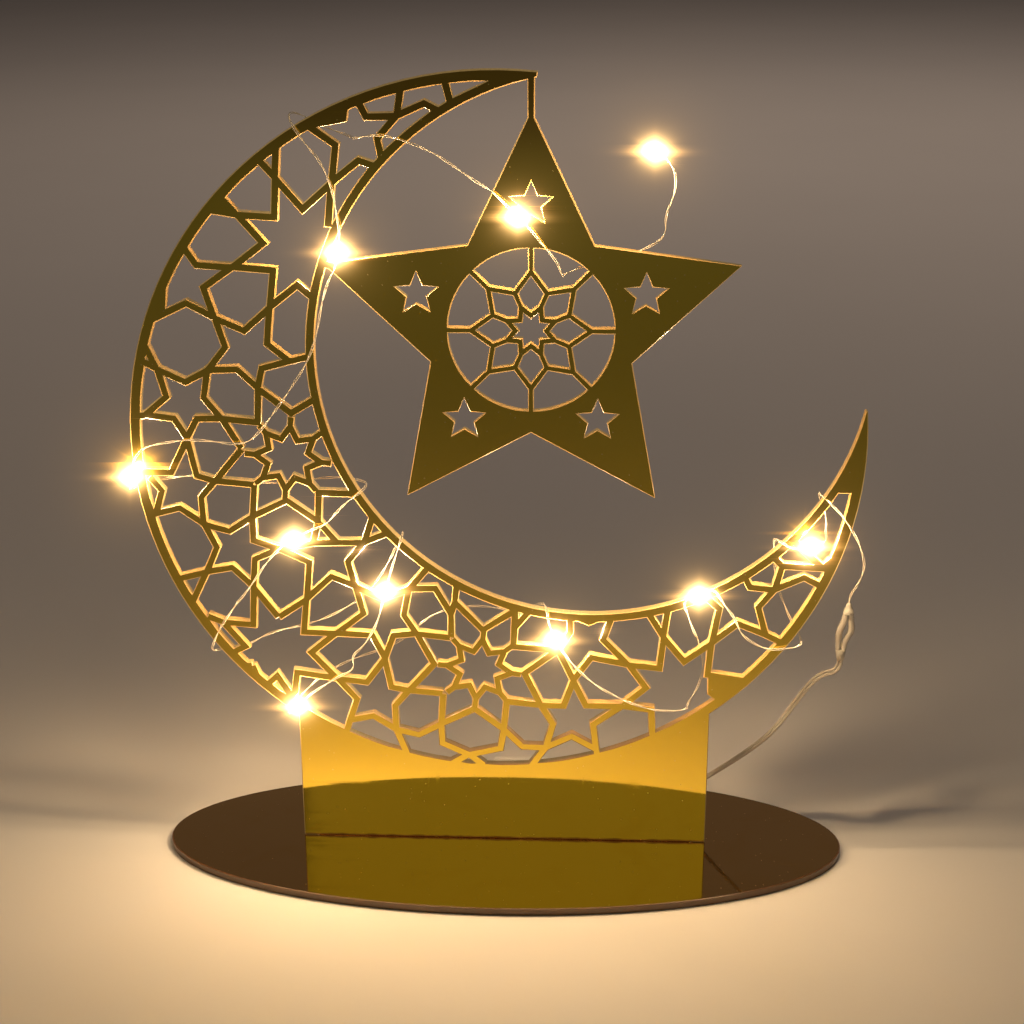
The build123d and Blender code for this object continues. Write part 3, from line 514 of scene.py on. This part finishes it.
def strand_finish(sizes):
    """Drawn wire under clear lacquer, darker and lighter in turns along its length, with a painted glow near
    the beads.
    """
    finish = Finish("lacquered_wire", Coat_Weight=0.7, Coat_Roughness=0.08, Emission_Strength=1.0)
    along = finish.attribute("along")
    waves = finish.add("ShaderNodeTexNoise", {"noise_dimensions": "1D"}, {"W": along, "Scale": 160.0},
                       output="Fac")
    colour = finish.blend(waves, dimmed(sizes.wire_colour, 0.72), sizes.wire_colour)
    glow = painted_bead_glow(finish, 0.010)
    # Painted glow: emission that stands in for the beads' light on the strands, stronger where the waves are
    # high, with a faint glow everywhere
    light = finish.tint((1.0, 0.78, 0.50), glow * (0.06 + waves * 0.22) + 0.012)
    finish.drive(Base_Color=colour, Metallic=finish.fit(waves, 0.3, 0.7, 0.1, 0.5),
                 Roughness=0.22 + waves * 0.16, Emission_Color=light)
    return finish.material


def jacket_finish(sizes):
    """Clear soft plastic with faint draw lines and clouding."""
    finish = Finish("clear_jacket", IOR=1.42, Transmission_Weight=0.52, Coat_Weight=0.8,
                    Coat_Roughness=0.08)
    cloud = finish.fit(finish.noise(210, 3), 0.35, 0.65)
    colour = finish.blend(cloud, sizes.jacket_colour, (1.0, 0.95, 0.88))
    finish.drive(Base_Color=colour, Roughness=0.06 + cloud * 0.18)
    finish.bump(finish.noise(900, 2), 0.00005, 0.5)
    return finish.material


def sleeve_finish():
    """Shrunk clear tubing with adhesive behind it."""
    finish = Finish("shrunk_sleeve", IOR=1.45, Transmission_Weight=0.5, Coat_Weight=0.6, Coat_Roughness=0.08)
    cloud = finish.noise(320, 4)
    finish.drive(Base_Color=finish.blend(cloud, (0.72, 0.66, 0.55), (0.93, 0.90, 0.84)),
                 Roughness=0.2 + cloud * 0.25)
    finish.bump(cloud, 0.0002, 0.7)
    return finish.material


def bead_finish(sizes):
    """Lit resin: white-hot round the chip and amber toward the ends."""
    finish = Finish("lit_resin", IOR=1.5, Coat_Weight=1.0, Coat_Roughness=0.03,
                    Emission_Strength=sizes.bead_glow)
    core = finish.attribute("core")
    colour = finish.blend(core, (1.0, 0.50, 0.14), (1.0, 0.84, 0.58))
    swirl = finish.noise(700, 2)
    finish.drive(Base_Color=finish.blend(swirl, (1.0, 0.86, 0.6), (1.0, 0.94, 0.78)),
                 Emission_Color=finish.tint(colour, 0.25 + core * 0.75), Roughness=0.05 + swirl * 0.08)
    return finish.material


def chip_finish():
    """Phosphor over the chip, lit."""
    finish = Finish("lit_chip", Emission_Strength=40.0)
    grain = finish.noise(5200, 3)
    finish.drive(Base_Color=finish.blend(grain, (1.0, 0.80, 0.25), (1.0, 0.88, 0.42)),
                 Emission_Color=finish.blend(grain, (1.0, 0.74, 0.34), (1.0, 0.84, 0.5)),
                 Roughness=0.4 + grain * 0.3)
    return finish.material


def moulding_finish(name, colour, shine=0.45):
    """Moulded plastic with a fine spark-eroded grain, handled smooth in places."""
    finish = Finish(name, IOR=1.5)
    grain = finish.noise(2600, 3, 0.6)
    handled = finish.fit(finish.noise(90, 3), 0.45, 0.7)
    paint = finish.blend(finish.noise(45, 3), dimmed(colour, 0.94), colour)
    finish.drive(Base_Color=paint, Roughness=shine + grain * 0.18 - handled * 0.1)
    finish.bump(grain, 0.00003, 0.6)
    return finish.material


def plated_finish(name, colour, stretch):
    """Nickel plate over rolled steel, with fine lines and light marks."""
    finish = Finish(name, Metallic=1.0)
    lines = finish.noise(1500, 3, stretch=stretch)
    marks = finish.fit(finish.noise(160, 4, 0.7), 0.6, 0.75)
    finish.drive(Base_Color=finish.blend(marks * 0.4, colour, (0.42, 0.40, 0.37)),
                 Roughness=0.2 + lines * 0.16 + marks * 0.12)
    finish.bump(lines, 0.00001, 0.5)
    return finish.material


def floor_finish(sizes):
    """Pale paper with a faint tooth."""
    finish = Finish("pale_floor", IOR=1.4, Specular_IOR_Level=0.2)
    tooth = finish.noise(700, 3)
    cloud = finish.noise(5, 3)
    finish.drive(Base_Color=finish.blend(cloud, dimmed(sizes.floor_colour, 0.94), sizes.floor_colour),
                 Roughness=0.75 + tooth * 0.1)
    finish.bump(tooth, 0.0001, 0.25)
    return finish.material


# Objects, places and lines


def placed(name, data):
    """New object in the scene."""
    holder = bpy.data.objects.new(name, data)
    bpy.context.scene.collection.objects.link(holder)
    return holder


def built_mesh(build, name):
    """Mesh of what has been built."""
    mesh = bpy.data.meshes.new(name)
    build.to_mesh(mesh)
    build.free()
    return mesh


def on_sheet(share_x, share_z, lane):
    """Point given by shares of the crescent's radius and a lane."""
    return Vector((CRESCENT_X + CRESCENT_RADIUS * share_x, lane * LANE_OFFSET,
                   CRESCENT_HEIGHT + CRESCENT_RADIUS * share_z))


def bead_centre(number):
    """Middle of a bead, in front of the sheet or level with it."""
    share_x, share_z, _ = BEADS[number]
    centre = on_sheet(share_x, share_z, 0)
    centre.y = 0 if number == LEVEL_BEAD else -BEAD_OFFSET
    return centre


def bead_direction(number):
    """Way of the string through a bead."""
    angle = math.radians(BEADS[number][2])
    return Vector((math.cos(angle), 0, math.sin(angle)))


def bead_exit(number, side):
    """The end of a bead and the point straight beyond it."""
    centre, along = bead_centre(number), bead_direction(number)
    return [centre + along * side * BEAD_HALF, centre + along * side * (BEAD_HALF + BEAD_LEAD_OUT)]


def wire_points(name):
    """Route points of a wire, from the piece that it leaves to the bead that it reaches."""
    start, leave, end, arrive, route = WIRES[name]
    if start == "splice":
        top = on_sheet(*SPLICE)
        points = [top, top + Vector((0, 0, SLEEVE_LEAD_OUT))]
    else:
        points = bead_exit(start, leave)
    return points + [on_sheet(*place) for place in route] + bead_exit(end, arrive)[::-1]


def lead_points():
    """Route points of the lead, from the battery box to its sleeve."""
    bottom = on_sheet(*SPLIT) - Vector((0, 0, SLEEVE_LENGTH))
    points = [RELIEF_END, RELIEF_END + Vector((LEAD_LEAD_OUT, 0, 0))]
    points += [on_sheet(*place) for place in LEAD]
    return points + [bottom - Vector((0, 0, LEAD_LEAD_OUT)), bottom]


def core_points(side):
    """Route points of one core, from the lower sleeve to the upper one."""
    sign, route = CORES[side]
    across, step = Vector((sign * CORE_SPACING / 2, 0, 0)), Vector((0, 0, SLEEVE_LEAD_OUT))
    low = on_sheet(*SPLIT) + across
    high = on_sheet(*SPLICE) - Vector((0, 0, SLEEVE_LENGTH)) + across
    return [low, low + step] + [on_sheet(*place) for place in route] + [high - step, high]


def route_curve(name, points, widths=None):
    """Smooth line that has the route's points as its control points, with a width at each."""
    line = bpy.data.curves.new(name, "CURVE")
    line.dimensions = "3D"
    line.resolution_u = 12
    spline = line.splines.new("NURBS")
    spline.points.add(len(points) - 1)
    for control, point, width in zip(spline.points, points, widths or [1] * len(points)):
        control.co = (*point, 1)
        control.radius = width
    spline.order_u = 3
    spline.use_endpoint_u = True
    return placed(name, line)


def plain_mesh(holder, name):
    """Mesh of an object with all that its modifiers make."""
    bpy.context.view_layer.update()
    evaluated = holder.evaluated_get(bpy.context.evaluated_depsgraph_get())
    mesh = bpy.data.meshes.new_from_object(evaluated)
    mesh.name = name
    return mesh


def line_points(holder):
    """Points along a smooth line, in order."""
    mesh = plain_mesh(holder, holder.name + "_line")
    points = [vertex.co.copy() for vertex in mesh.vertices]
    bpy.data.meshes.remove(mesh)
    return points


def piece(name, mesh, body, replaced=(), materials=()):
    """A finished piece at the origin, on its body."""
    made = placed(name, mesh)
    for material in materials:
        made.data.materials.append(material)
    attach(made, body)
    if replaced:
        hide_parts(*replaced)
    return made


def smooth(mesh, angle=35):
    """Shade smooth, with sharp edges kept past an angle in degrees."""
    mesh.polygons.foreach_set("use_smooth", [True] * len(mesh.polygons))
    mesh.set_sharp_from_angle(angle=math.radians(angle))


def turned(name, profile, sides, origin, along, angle=50):
    """Closed surface turned round an axis, from each ring's place along the axis and its radius."""
    across = along.orthogonal().normalized()
    up = along.cross(across)
    build = bmesh.new()
    rings = []
    for reach, radius in profile:
        centre = origin + along * reach
        turns = [2 * math.pi * step / sides for step in range(sides)]
        rings.append([build.verts.new(centre + (across * math.cos(turn) + up * math.sin(turn)) * radius)
                      for turn in turns])
    for before, after in zip(rings, rings[1:]):
        for step in range(sides):
            following = (step + 1) % sides
            build.faces.new((before[step], before[following], after[following], after[step]))
    build.faces.new(rings[0])
    build.faces.new(rings[-1])
    bmesh.ops.recalc_face_normals(build, faces=build.faces)
    mesh = built_mesh(build, name)
    smooth(mesh, angle)
    return mesh


def merged_copy(node, name):
    """Copy of a CAD node's mesh with its doubled corners merged."""
    mesh = frame["nodes"][node].data.copy()
    mesh.name = name
    mesh.materials.clear()
    build = bmesh.new()
    build.from_mesh(mesh)
    bmesh.ops.remove_doubles(build, verts=build.verts, dist=1e-6)
    build.to_mesh(mesh)
    build.free()
    return mesh


def rounded_copy(node, name, width, segments):
    """Merged copy of a CAD node with its sharp edges rounded."""
    holder = placed(name + "_holder", merged_copy(node, name + "_plain"))
    rounding = holder.modifiers.new("rounding", "BEVEL")
    rounding.width = width
    rounding.segments = segments
    rounding.limit_method = "ANGLE"
    rounding.angle_limit = math.radians(40)
    rounding.use_clamp_overlap = True
    mesh = plain_mesh(holder, name)
    bpy.data.objects.remove(holder)
    smooth(mesh)
    return mesh


# Geometry Nodes trees


class Tree:
    """A Geometry Nodes tree under construction."""

    def __init__(self, name, inputs):
        self.group = bpy.data.node_groups.new(name, "GeometryNodeTree")
        self.group.interface.new_socket("Geometry", in_out="INPUT", socket_type="NodeSocketGeometry")
        for label, (kind, value) in inputs.items():
            socket = self.group.interface.new_socket(label, in_out="INPUT", socket_type=kind)
            if value is not None:
                socket.default_value = value
        self.group.interface.new_socket("Geometry", in_out="OUTPUT", socket_type="NodeSocketGeometry")
        self.entry = self.group.nodes.new("NodeGroupInput")

    def add(self, kind, settings=None, values=None, output=0):
        """Output of a new node, whose settings are set before the values or links of its sockets."""
        node = self.group.nodes.new(kind)
        for name, value in (settings or {}).items():
            setattr(node, name, value)
        for name, value in (values or {}).items():
            if isinstance(value, bpy.types.NodeSocket):
                self.group.links.new(value, node.inputs[name])
            else:
                node.inputs[name].default_value = value
        return node.outputs[output]

    def math(self, operation, *values):
        return self.add("ShaderNodeMath", {"operation": operation}, dict(enumerate(values)))

    def vector_math(self, operation, *values, **named):
        return self.add("ShaderNodeVectorMath", {"operation": operation}, {
            **dict(enumerate(values)), **named})

    def given(self, label):
        """Input of the tree itself."""
        return self.entry.outputs[label]

    def finish(self, geometry):
        """Realize the instances, set the material and close the tree."""
        real = self.add("GeometryNodeRealizeInstances", values={"Geometry": geometry})
        painted = self.add("GeometryNodeSetMaterial", values={
            "Geometry": real, "Material": self.given("Material")})
        leave = self.group.nodes.new("NodeGroupOutput")
        self.group.links.new(painted, leave.inputs["Geometry"])
        return self.group


def apply_tree(holder, group, name, **values):
    """Run a tree on an object and give back the plain mesh."""
    modifier = holder.modifiers.new(name, "NODES")
    modifier.node_group = group
    for item in group.interface.items_tree:
        label = item.name.replace(" ", "_").lower()
        if item.in_out == "INPUT" and label in values:
            modifier[item.identifier] = values[label]
    mesh = plain_mesh(holder, name)
    holder.modifiers.remove(modifier)
    return mesh


def twisted_pair_tree():
    """Two strands turned round a line."""
    tree = Tree("twisted_pair", {
        "Strand Radius": ("NodeSocketFloat", 0.00016), "Twist Radius": ("NodeSocketFloat", 0.00018),
        "Twist Pitch": ("NodeSocketFloat", 0.017), "First Turn": ("NodeSocketFloat", 0.0),
        "Step": ("NodeSocketFloat", WIRE_STEP), "Material": ("NodeSocketMaterial", None)})
    line = tree.add("GeometryNodeResampleCurve", {"mode": "LENGTH"}, {
        "Curve": tree.given("Geometry"), "Length": tree.given("Step")})
    length = tree.add("GeometryNodeSplineParameter", output="Length")
    line = tree.add("GeometryNodeStoreNamedAttribute", {"data_type": "FLOAT", "domain": "POINT"}, {
        "Geometry": line, "Name": "along", "Value": length})
    turns = tree.math("DIVIDE", length, tree.given("Twist Pitch"))
    angle = tree.math("MULTIPLY_ADD", turns, 2 * math.pi, tree.given("First Turn"))
    normal = tree.add("GeometryNodeInputNormal")
    tangent = tree.add("GeometryNodeInputTangent")
    side = tree.vector_math("CROSS_PRODUCT", tangent, normal)
    rim = tree.add("GeometryNodeCurvePrimitiveCircle", values={
        "Resolution": 8, "Radius": tree.given("Strand Radius")})
    strands = tree.add("GeometryNodeJoinGeometry")
    for half_turn in (0, math.pi):
        turn = tree.math("ADD", angle, half_turn)
        across = tree.vector_math("SCALE", normal, Scale=tree.math("COSINE", turn))
        up = tree.vector_math("SCALE", side, Scale=tree.math("SINE", turn))
        both = tree.vector_math("ADD", across, up)
        offset = tree.vector_math("SCALE", both, Scale=tree.given("Twist Radius"))
        moved = tree.add("GeometryNodeSetPosition", values={"Geometry": line, "Offset": offset})
        strand = tree.add("GeometryNodeCurveToMesh", values={
            "Curve": moved, "Profile Curve": rim, "Fill Caps": True})
        tree.group.links.new(strand, strands.node.inputs["Geometry"])
    return tree.finish(strands)


def jacket_tree():
    """Round jacket along a line, as thick as the line says."""
    tree = Tree("round_jacket", {
        "Jacket Radius": ("NodeSocketFloat", 0.0009), "Step": ("NodeSocketFloat", LEAD_STEP),
        "Material": ("NodeSocketMaterial", None)})
    line = tree.add("GeometryNodeResampleCurve", {"mode": "LENGTH"}, {
        "Curve": tree.given("Geometry"), "Length": tree.given("Step")})
    rim = tree.add("GeometryNodeCurvePrimitiveCircle", values={
        "Resolution": 20, "Radius": tree.given("Jacket Radius")})
    tube = tree.add("GeometryNodeCurveToMesh", values={
        "Curve": line, "Profile Curve": rim, "Scale": tree.add("GeometryNodeInputRadius"), "Fill Caps": True})
    return tree.finish(tree.add("GeometryNodeSetShadeSmooth", values={"Geometry": tube}))


def string_tree():
    """One bead on each point, turned by the point's own turn."""
    tree = Tree("string_of_beads", {
        "Bead": ("NodeSocketObject", None), "Material": ("NodeSocketMaterial", None)})
    shape = tree.add("GeometryNodeObjectInfo", {"transform_space": "ORIGINAL"}, {
        "Object": tree.given("Bead")}, output="Geometry")
    turn = tree.add("GeometryNodeInputNamedAttribute", {"data_type": "FLOAT_VECTOR"}, {"Name": "turn"})
    turn = tree.add("FunctionNodeEulerToRotation", values={"Euler": turn})
    beads = tree.add("GeometryNodeInstanceOnPoints", values={
        "Points": tree.given("Geometry"), "Instance": shape, "Rotation": turn})
    return tree.finish(beads)


# Operators


class CRESCENT_OT_camera(bpy.types.Operator):
    """Camera at the photograph's place"""
    bl_idname = "crescent.camera"
    bl_label = "Camera"

    def execute(self, context):
        lens = bpy.data.cameras.new("photo_camera")
        lens.lens = CAMERA_LENS
        lens.sensor_width = CAMERA_FILM
        lens.sensor_fit = "HORIZONTAL"
        lens.clip_start = 0.01
        lens.clip_end = 50
        camera = placed("photo_camera", lens)
        yaw = Matrix.Rotation(math.radians(CAMERA_YAW), 4, "Z")
        pitch = Matrix.Rotation(math.radians(90 - CAMERA_DOWN), 4, "X")
        roll = Matrix.Rotation(math.radians(CAMERA_ROLL), 4, "Z")
        camera.matrix_world = Matrix.Translation(CAMERA_PLACE) @ yaw @ pitch @ roll
        context.scene.camera = camera
        return {"FINISHED"}


class CRESCENT_OT_wires(bpy.types.Operator):
    """Twisted wire between the beads"""
    bl_idname = "crescent.wires"
    bl_label = "Light string wires"

    def execute(self, context):
        sizes = context.scene.crescent_wire
        material = strand_finish(sizes)
        tree = twisted_pair_tree()
        for name in WIRES:
            holder = route_curve("route_" + name, wire_points(name))
            path = line_points(holder)
            mesh = apply_tree(holder, tree, "strands_" + name, strand_radius=sizes.strand_diameter / 2,
                              twist_radius=sizes.twist_radius, twist_pitch=sizes.twist_pitch,
                              step=WIRE_STEP, material=material)
            bpy.data.objects.remove(holder)
            smooth(mesh, angle=80)
            made = piece("strands_" + name, mesh, "ornament", ["wire_" + name])
        return {"FINISHED"}


class CRESCENT_OT_lead(bpy.types.Operator):
    """Clear lead from the battery box to the light string"""
    bl_idname = "crescent.lead"
    bl_label = "Lead"

    def execute(self, context):
        sizes = context.scene.crescent_wire
        jacket, strand, sleeve = jacket_finish(sizes), strand_finish(sizes), sleeve_finish()
        tube_tree, pair_tree = jacket_tree(), twisted_pair_tree()
        holder = route_curve("route_lead", lead_points())
        path = line_points(holder)
        spread = sizes.lead_diameter * LEAD_SPREAD_SHARE
        tube = apply_tree(holder, pair_tree, "lead_jacket", material=jacket, twist_radius=spread,
                          strand_radius=sizes.lead_diameter * LEAD_HALF_SHARE,
                          twist_pitch=LEAD_TURN_LENGTH, step=LEAD_STEP)
        smooth(tube, angle=80)
        pair = apply_tree(holder, pair_tree, "lead_strands", material=strand, twist_radius=spread,
                          strand_radius=INNER_STRAND_RADIUS, twist_pitch=LEAD_TURN_LENGTH,
                          step=LEAD_STEP)
        bpy.data.objects.remove(holder)
        inside = piece("lead_strands", pair, "ornament")
        outside = piece("lead_jacket", tube, "ornament", ["lead"])
        for side in CORES:
            holder = route_curve("route_core_" + side, core_points(side), CORE_WIDTHS)
            tube = apply_tree(holder, tube_tree, "jacket_core_" + side, material=jacket,
                              jacket_radius=CORE_JACKET_RADIUS, step=WIRE_STEP)
            pair = apply_tree(holder, pair_tree, "strands_core_" + side, material=strand,
                              strand_radius=INNER_STRAND_RADIUS, twist_radius=INNER_STRAND_RADIUS,
                              twist_pitch=CORE_TURN_LENGTH, step=WIRE_STEP)
            bpy.data.objects.remove(holder)
            piece("strands_core_" + side, pair, "ornament")
            piece("jacket_core_" + side, tube, "ornament", ["core_" + side])
        for node, place, profile in (
                ("splice_sleeve", SPLICE, SPLICE_PROFILE), ("split_sleeve", SPLIT, SPLIT_PROFILE)):
            bottom = on_sheet(*place) - Vector((0, 0, SLEEVE_LENGTH))
            mesh = turned("shrunk_" + node, profile, sides=24, origin=bottom, along=Vector((0, 0, 1)))
            piece("shrunk_" + node, mesh, "ornament", [node], [sleeve])
        mesh = self.boot(sizes.lead_diameter / 2)
        piece("lead_boot", mesh, "ornament", ["strain_relief"], [sleeve])
        return {"FINISHED"}

    def boot(self, lead_radius):
        """Ribbed boot that narrows from the box to the lead."""
        box_low, box_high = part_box("strain_relief")
        profile = []
        for index in range(BOOT_RINGS):
            share = index / (BOOT_RINGS - 1)
            radius = BOOT_RADIUS + (lead_radius * 1.12 - BOOT_RADIUS) * share
            if index % 3 == 2:
                radius *= BOOT_GROOVE_SHARE
            profile.append(((box_high.x - box_low.x) * share, max(radius, lead_radius * 1.03)))
        start = Vector((box_low.x, RELIEF_END.y, RELIEF_END.z))
        return turned("lead_boot", profile, sides=28, origin=start, along=Vector((1, 0, 0)))


class CRESCENT_OT_beads(bpy.types.Operator):
    """Lit resin beads with their chips and lamps"""
    bl_idname = "crescent.beads"
    bl_label = "Light beads"

    def execute(self, context):
        sizes = context.scene.crescent_light
        drop = bpy.data.objects.new("one_drop", self.drop(sizes))
        die = bpy.data.objects.new("one_chip", self.chip())
        points = self.points()
        tree = string_tree()
        for name, shape, slot, material, replaced in (
                ("resin_drops", drop, "clear_resin", bead_finish(sizes), "led_bead_"),
                ("chips", die, "led_chip", chip_finish(), "led_chip_")):
            mesh = apply_tree(points, tree, name, bead=shape, material=material)
            smooth(mesh, angle=50)
            piece(name, mesh, "ornament", [replaced + number for number in BEADS])
        for unused in (points, drop, die):
            bpy.data.objects.remove(unused)
        for number in BEADS:
            lamp = bpy.data.lights.new("lamp_" + number, "POINT")
            lamp.energy = sizes.light_power
            lamp.color = sizes.light_colour
            lamp.shadow_soft_size = LAMP_RADIUS
            holder = placed("lamp_" + number, lamp)
            holder.location = bead_centre(number) - Vector((0, LAMP_FORWARD, 0))
            holder.parent = frame["bodies"]["ornament"]
        return {"FINISHED"}

    def points(self):
        """One point for each bead, with the turn of its string."""
        mesh = bpy.data.meshes.new("bead_points")
        mesh.from_pydata([tuple(bead_centre(number)) for number in BEADS], [], [])
        turns = mesh.attributes.new("turn", "FLOAT_VECTOR", "POINT")
        front = Vector((0, -1, 0))
        for index, number in enumerate(BEADS):
            along = bead_direction(number)
            turns.data[index].vector = Matrix((along, front.cross(along), front)).transposed().to_euler()
        return placed("bead_points", mesh)

    def drop(self, sizes):
        """Drop of resin along X, fullest at its middle."""
        profile = []
        for index in range(DROP_RINGS + 1):
            share = index / DROP_RINGS
            fullness = max(math.sin(math.pi * share) ** 0.72, 0.2)
            profile.append((sizes.bead_length * (share - 0.5), sizes.bead_diameter / 2 * fullness))
        mesh = turned("one_drop", profile, sides=24, origin=Vector(), along=Vector((1, 0, 0)))
        core = mesh.attributes.new("core", "FLOAT", "POINT")
        for index, vertex in enumerate(mesh.vertices):
            core.data[index].value = max(0.0, 1 - (abs(vertex.co.x) / sizes.bead_length * 2) ** 1.6)
        return mesh

    def chip(self):
        """Small chip with rounded edges, its lit face up."""
        build = bmesh.new()
        bmesh.ops.create_cube(build, size=1)
        bmesh.ops.scale(build, vec=CHIP_SIZE, verts=build.verts)
        bmesh.ops.translate(build, vec=(0, 0, CHIP_SIZE[2] / 2), verts=build.verts)
        bmesh.ops.bevel(build, geom=build.edges[:], offset=CHIP_ROUND, segments=2, affect="EDGES")
        return built_mesh(build, "one_chip")


class CRESCENT_OT_sheets(bpy.types.Operator):
    """Ornament sheet and oval base of gold mirror"""
    bl_idname = "crescent.sheets"
    bl_label = "Mirror sheets"

    def execute(self, context):
        sizes = context.scene.crescent_sheet
        mirror, backing = mirror_finish(sizes), backing_finish(sizes)
        bright = edge_finish("cut_edge", sizes.edge_colour, sizes, 1.0)
        dark = edge_finish("base_edge", sizes.base_edge_colour, sizes, 0.12)
        for node, name, body, edge, front in (
                ("ornament_panel", "mirror_panel", "ornament", bright, Vector((0, -1, 0))),
                ("base_plate", "mirror_base", "base", dark, Vector((0, 0, 1)))):
            mesh = self.lined_sheet(node, name, front, sizes.line_width)
            piece(name, mesh, body, [node], [mirror, edge, backing])
        return {"FINISHED"}

    def lined_sheet(self, node, name, front, width):
        """Merged copy of a CAD sheet with a narrow slanted line round its front face."""
        mesh = merged_copy(node, name)
        build = bmesh.new()
        build.from_mesh(mesh)
        build.normal_update()
        for face in build.faces:
            facing = face.normal.dot(front)
            face.smooth = abs(facing) < FACING
            face.material_index = MIRROR if facing > FACING else BACKING if facing < -FACING else EDGE
        shown = [face for face in build.faces if face.material_index == MIRROR]
        line = bmesh.ops.inset_region(build, faces=shown, thickness=width, use_boundary=True)["faces"]
        inner = {vertex for face in shown for vertex in face.verts}
        outer = {vertex for face in line for vertex in face.verts} - inner
        for vertex in outer:
            vertex.co -= front * width * LINE_SLANT
        for face in line:
            face.material_index = EDGE
        for _ in range(UNFOLD_PASSES):
            self.unfold(build, front)
        build.normal_update()
        for face in build.faces:
            if face.material_index == MIRROR and face.normal.dot(front) < 0:
                face.material_index = EDGE
        build.to_mesh(mesh)
        build.free()
        return mesh

    def unfold(self, build, front):
        """Turn the longest inner edge of each front face that the inset has folded over."""
        build.normal_update()
        for face in [face for face in build.faces if face.material_index == MIRROR]:
            if face.is_valid and face.normal.dot(front) < 0:
                inside = [edge for edge in face.edges
                          if all(beside.material_index == MIRROR for beside in edge.link_faces)]
                if inside:
                    bmesh.utils.edge_rotate(max(inside, key=lambda edge: edge.calc_length()))


class CRESCENT_OT_battery_box(bpy.types.Operator):
    """Battery box with its cover, cells, contacts and switch"""
    bl_idname = "crescent.battery_box"
    bl_label = "Battery box"

    def execute(self, context):
        sizes = context.scene.crescent_box
        case = moulding_finish("matt_moulding", sizes.case_colour)
        dark = moulding_finish("dark_moulding", (0.03, 0.03, 0.032), 0.38)
        cell = plated_finish("plated_can", (0.72, 0.71, 0.69), (1, 0.04, 1))
        strip = plated_finish("plated_strip", (0.66, 0.65, 0.61), (0.05, 1, 1))
        for node, body, slot, material, width in (
                ("battery_case", "ornament", "box_plastic", case, sizes.edge_round),
                ("battery_cover", "cover", "box_plastic", case, sizes.edge_round * 0.5),
                ("coin_cell_1", "ornament", "cell_steel", cell, sizes.edge_round),
                ("coin_cell_2", "ornament", "cell_steel", cell, sizes.edge_round),
                ("bottom_contact", "ornament", "contact_steel", strip, sizes.edge_round * 0.3),
                ("side_contact", "ornament", "contact_steel", strip, sizes.edge_round * 0.3),
                ("switch_body", "ornament", "switch_plastic", dark, sizes.edge_round * 0.5),
                ("switch_knob", "knob", "switch_plastic", dark, sizes.edge_round * 0.7)):
            name = "finished_" + node
            mesh = rounded_copy(node, name, width, sizes.round_segments)
            piece(name, mesh, body, [node], [material])
        return {"FINISHED"}


class CRESCENT_OT_stage(bpy.types.Operator):
    """Pale floor, soft lamps and an even surround"""
    bl_idname = "crescent.stage"
    bl_label = "Stage"

    def execute(self, context):
        sizes = context.scene.crescent_stage
        build = bmesh.new()
        bmesh.ops.create_circle(build, cap_ends=True, segments=96, radius=sizes.floor_radius)
        floor = placed("floor", built_mesh(build, "floor"))
        floor.data.materials.append(floor_finish(sizes))
        for name, (size, place, aim, colour) in LAMPS.items():
            self.lamp(name, getattr(sizes, name + "_power"), size, place, aim, colour)
        world = bpy.data.worlds.new("surround")
        world.use_nodes = True
        sky = world.node_tree.nodes["Background"]
        sky.inputs["Color"].default_value = (*SURROUND_COLOUR, 1)
        sky.inputs["Strength"].default_value = sizes.sky_strength
        context.scene.world = world
        context.scene.view_settings.view_transform = "Standard"
        self.glow(context.scene)
        return {"FINISHED"}

    def lamp(self, name, power, size, place, aim, colour):
        """Soft oblong lamp that faces its aim."""
        light = bpy.data.lights.new(name, "AREA")
        light.energy = power
        light.shape = "RECTANGLE"
        light.size, light.size_y = size
        light.color = colour
        holder = placed(name, light)
        holder.location = place
        holder.rotation_euler = (Vector(aim) - Vector(place)).to_track_quat("-Z", "Y").to_euler()

    def glow(self, scene):
        """Glare round what is far brighter than the paper."""
        scene.use_nodes = True
        tree = scene.node_tree
        tree.nodes.clear()
        picture = tree.nodes.new("CompositorNodeRLayers").outputs["Image"]
        for kind, values in GLARES:
            node = tree.nodes.new("CompositorNodeGlare")
            node.glare_type = kind
            node.quality = "HIGH"
            for label, value in values.items():
                node.inputs[label].default_value = value
            tree.links.new(picture, node.inputs["Image"])
            picture = node.outputs["Image"]
        shown = tree.nodes.new("CompositorNodeComposite")
        tree.links.new(picture, shown.inputs["Image"])


class CRESCENT_PT_panel(bpy.types.Panel):
    """Lists the pieces of the ornament"""
    bl_idname = "CRESCENT_PT_panel"
    bl_label = "Crescent table ornament"
    bl_space_type = "VIEW_3D"
    bl_region_type = "UI"
    bl_category = "Crescent"

    def draw(self, context):
        for operator in OPERATORS:
            self.layout.operator(operator.bl_idname)
        for name, group in SIZE_GROUPS.items():
            box = self.layout.box()
            for label in group.__annotations__:
                box.prop(getattr(context.scene, name), label)


OPERATORS = (
    CRESCENT_OT_camera, CRESCENT_OT_wires, CRESCENT_OT_lead, CRESCENT_OT_beads, CRESCENT_OT_sheets,
    CRESCENT_OT_battery_box, CRESCENT_OT_stage,
)


def register():
    for name, group in SIZE_GROUPS.items():
        bpy.utils.register_class(group)
        setattr(bpy.types.Scene, name, bpy.props.PointerProperty(type=group))
    for shown in (*OPERATORS, CRESCENT_PT_panel):
        bpy.utils.register_class(shown)


def unregister():
    for shown in (CRESCENT_PT_panel, *reversed(OPERATORS)):
        bpy.utils.unregister_class(shown)
    for name, group in SIZE_GROUPS.items():
        delattr(bpy.types.Scene, name)
        bpy.utils.unregister_class(group)


def main():
    register()
    for operator in OPERATORS:
        family, action = operator.bl_idname.split(".")
        getattr(getattr(bpy.ops, family), action)()


if __name__ == "__main__":
    main()
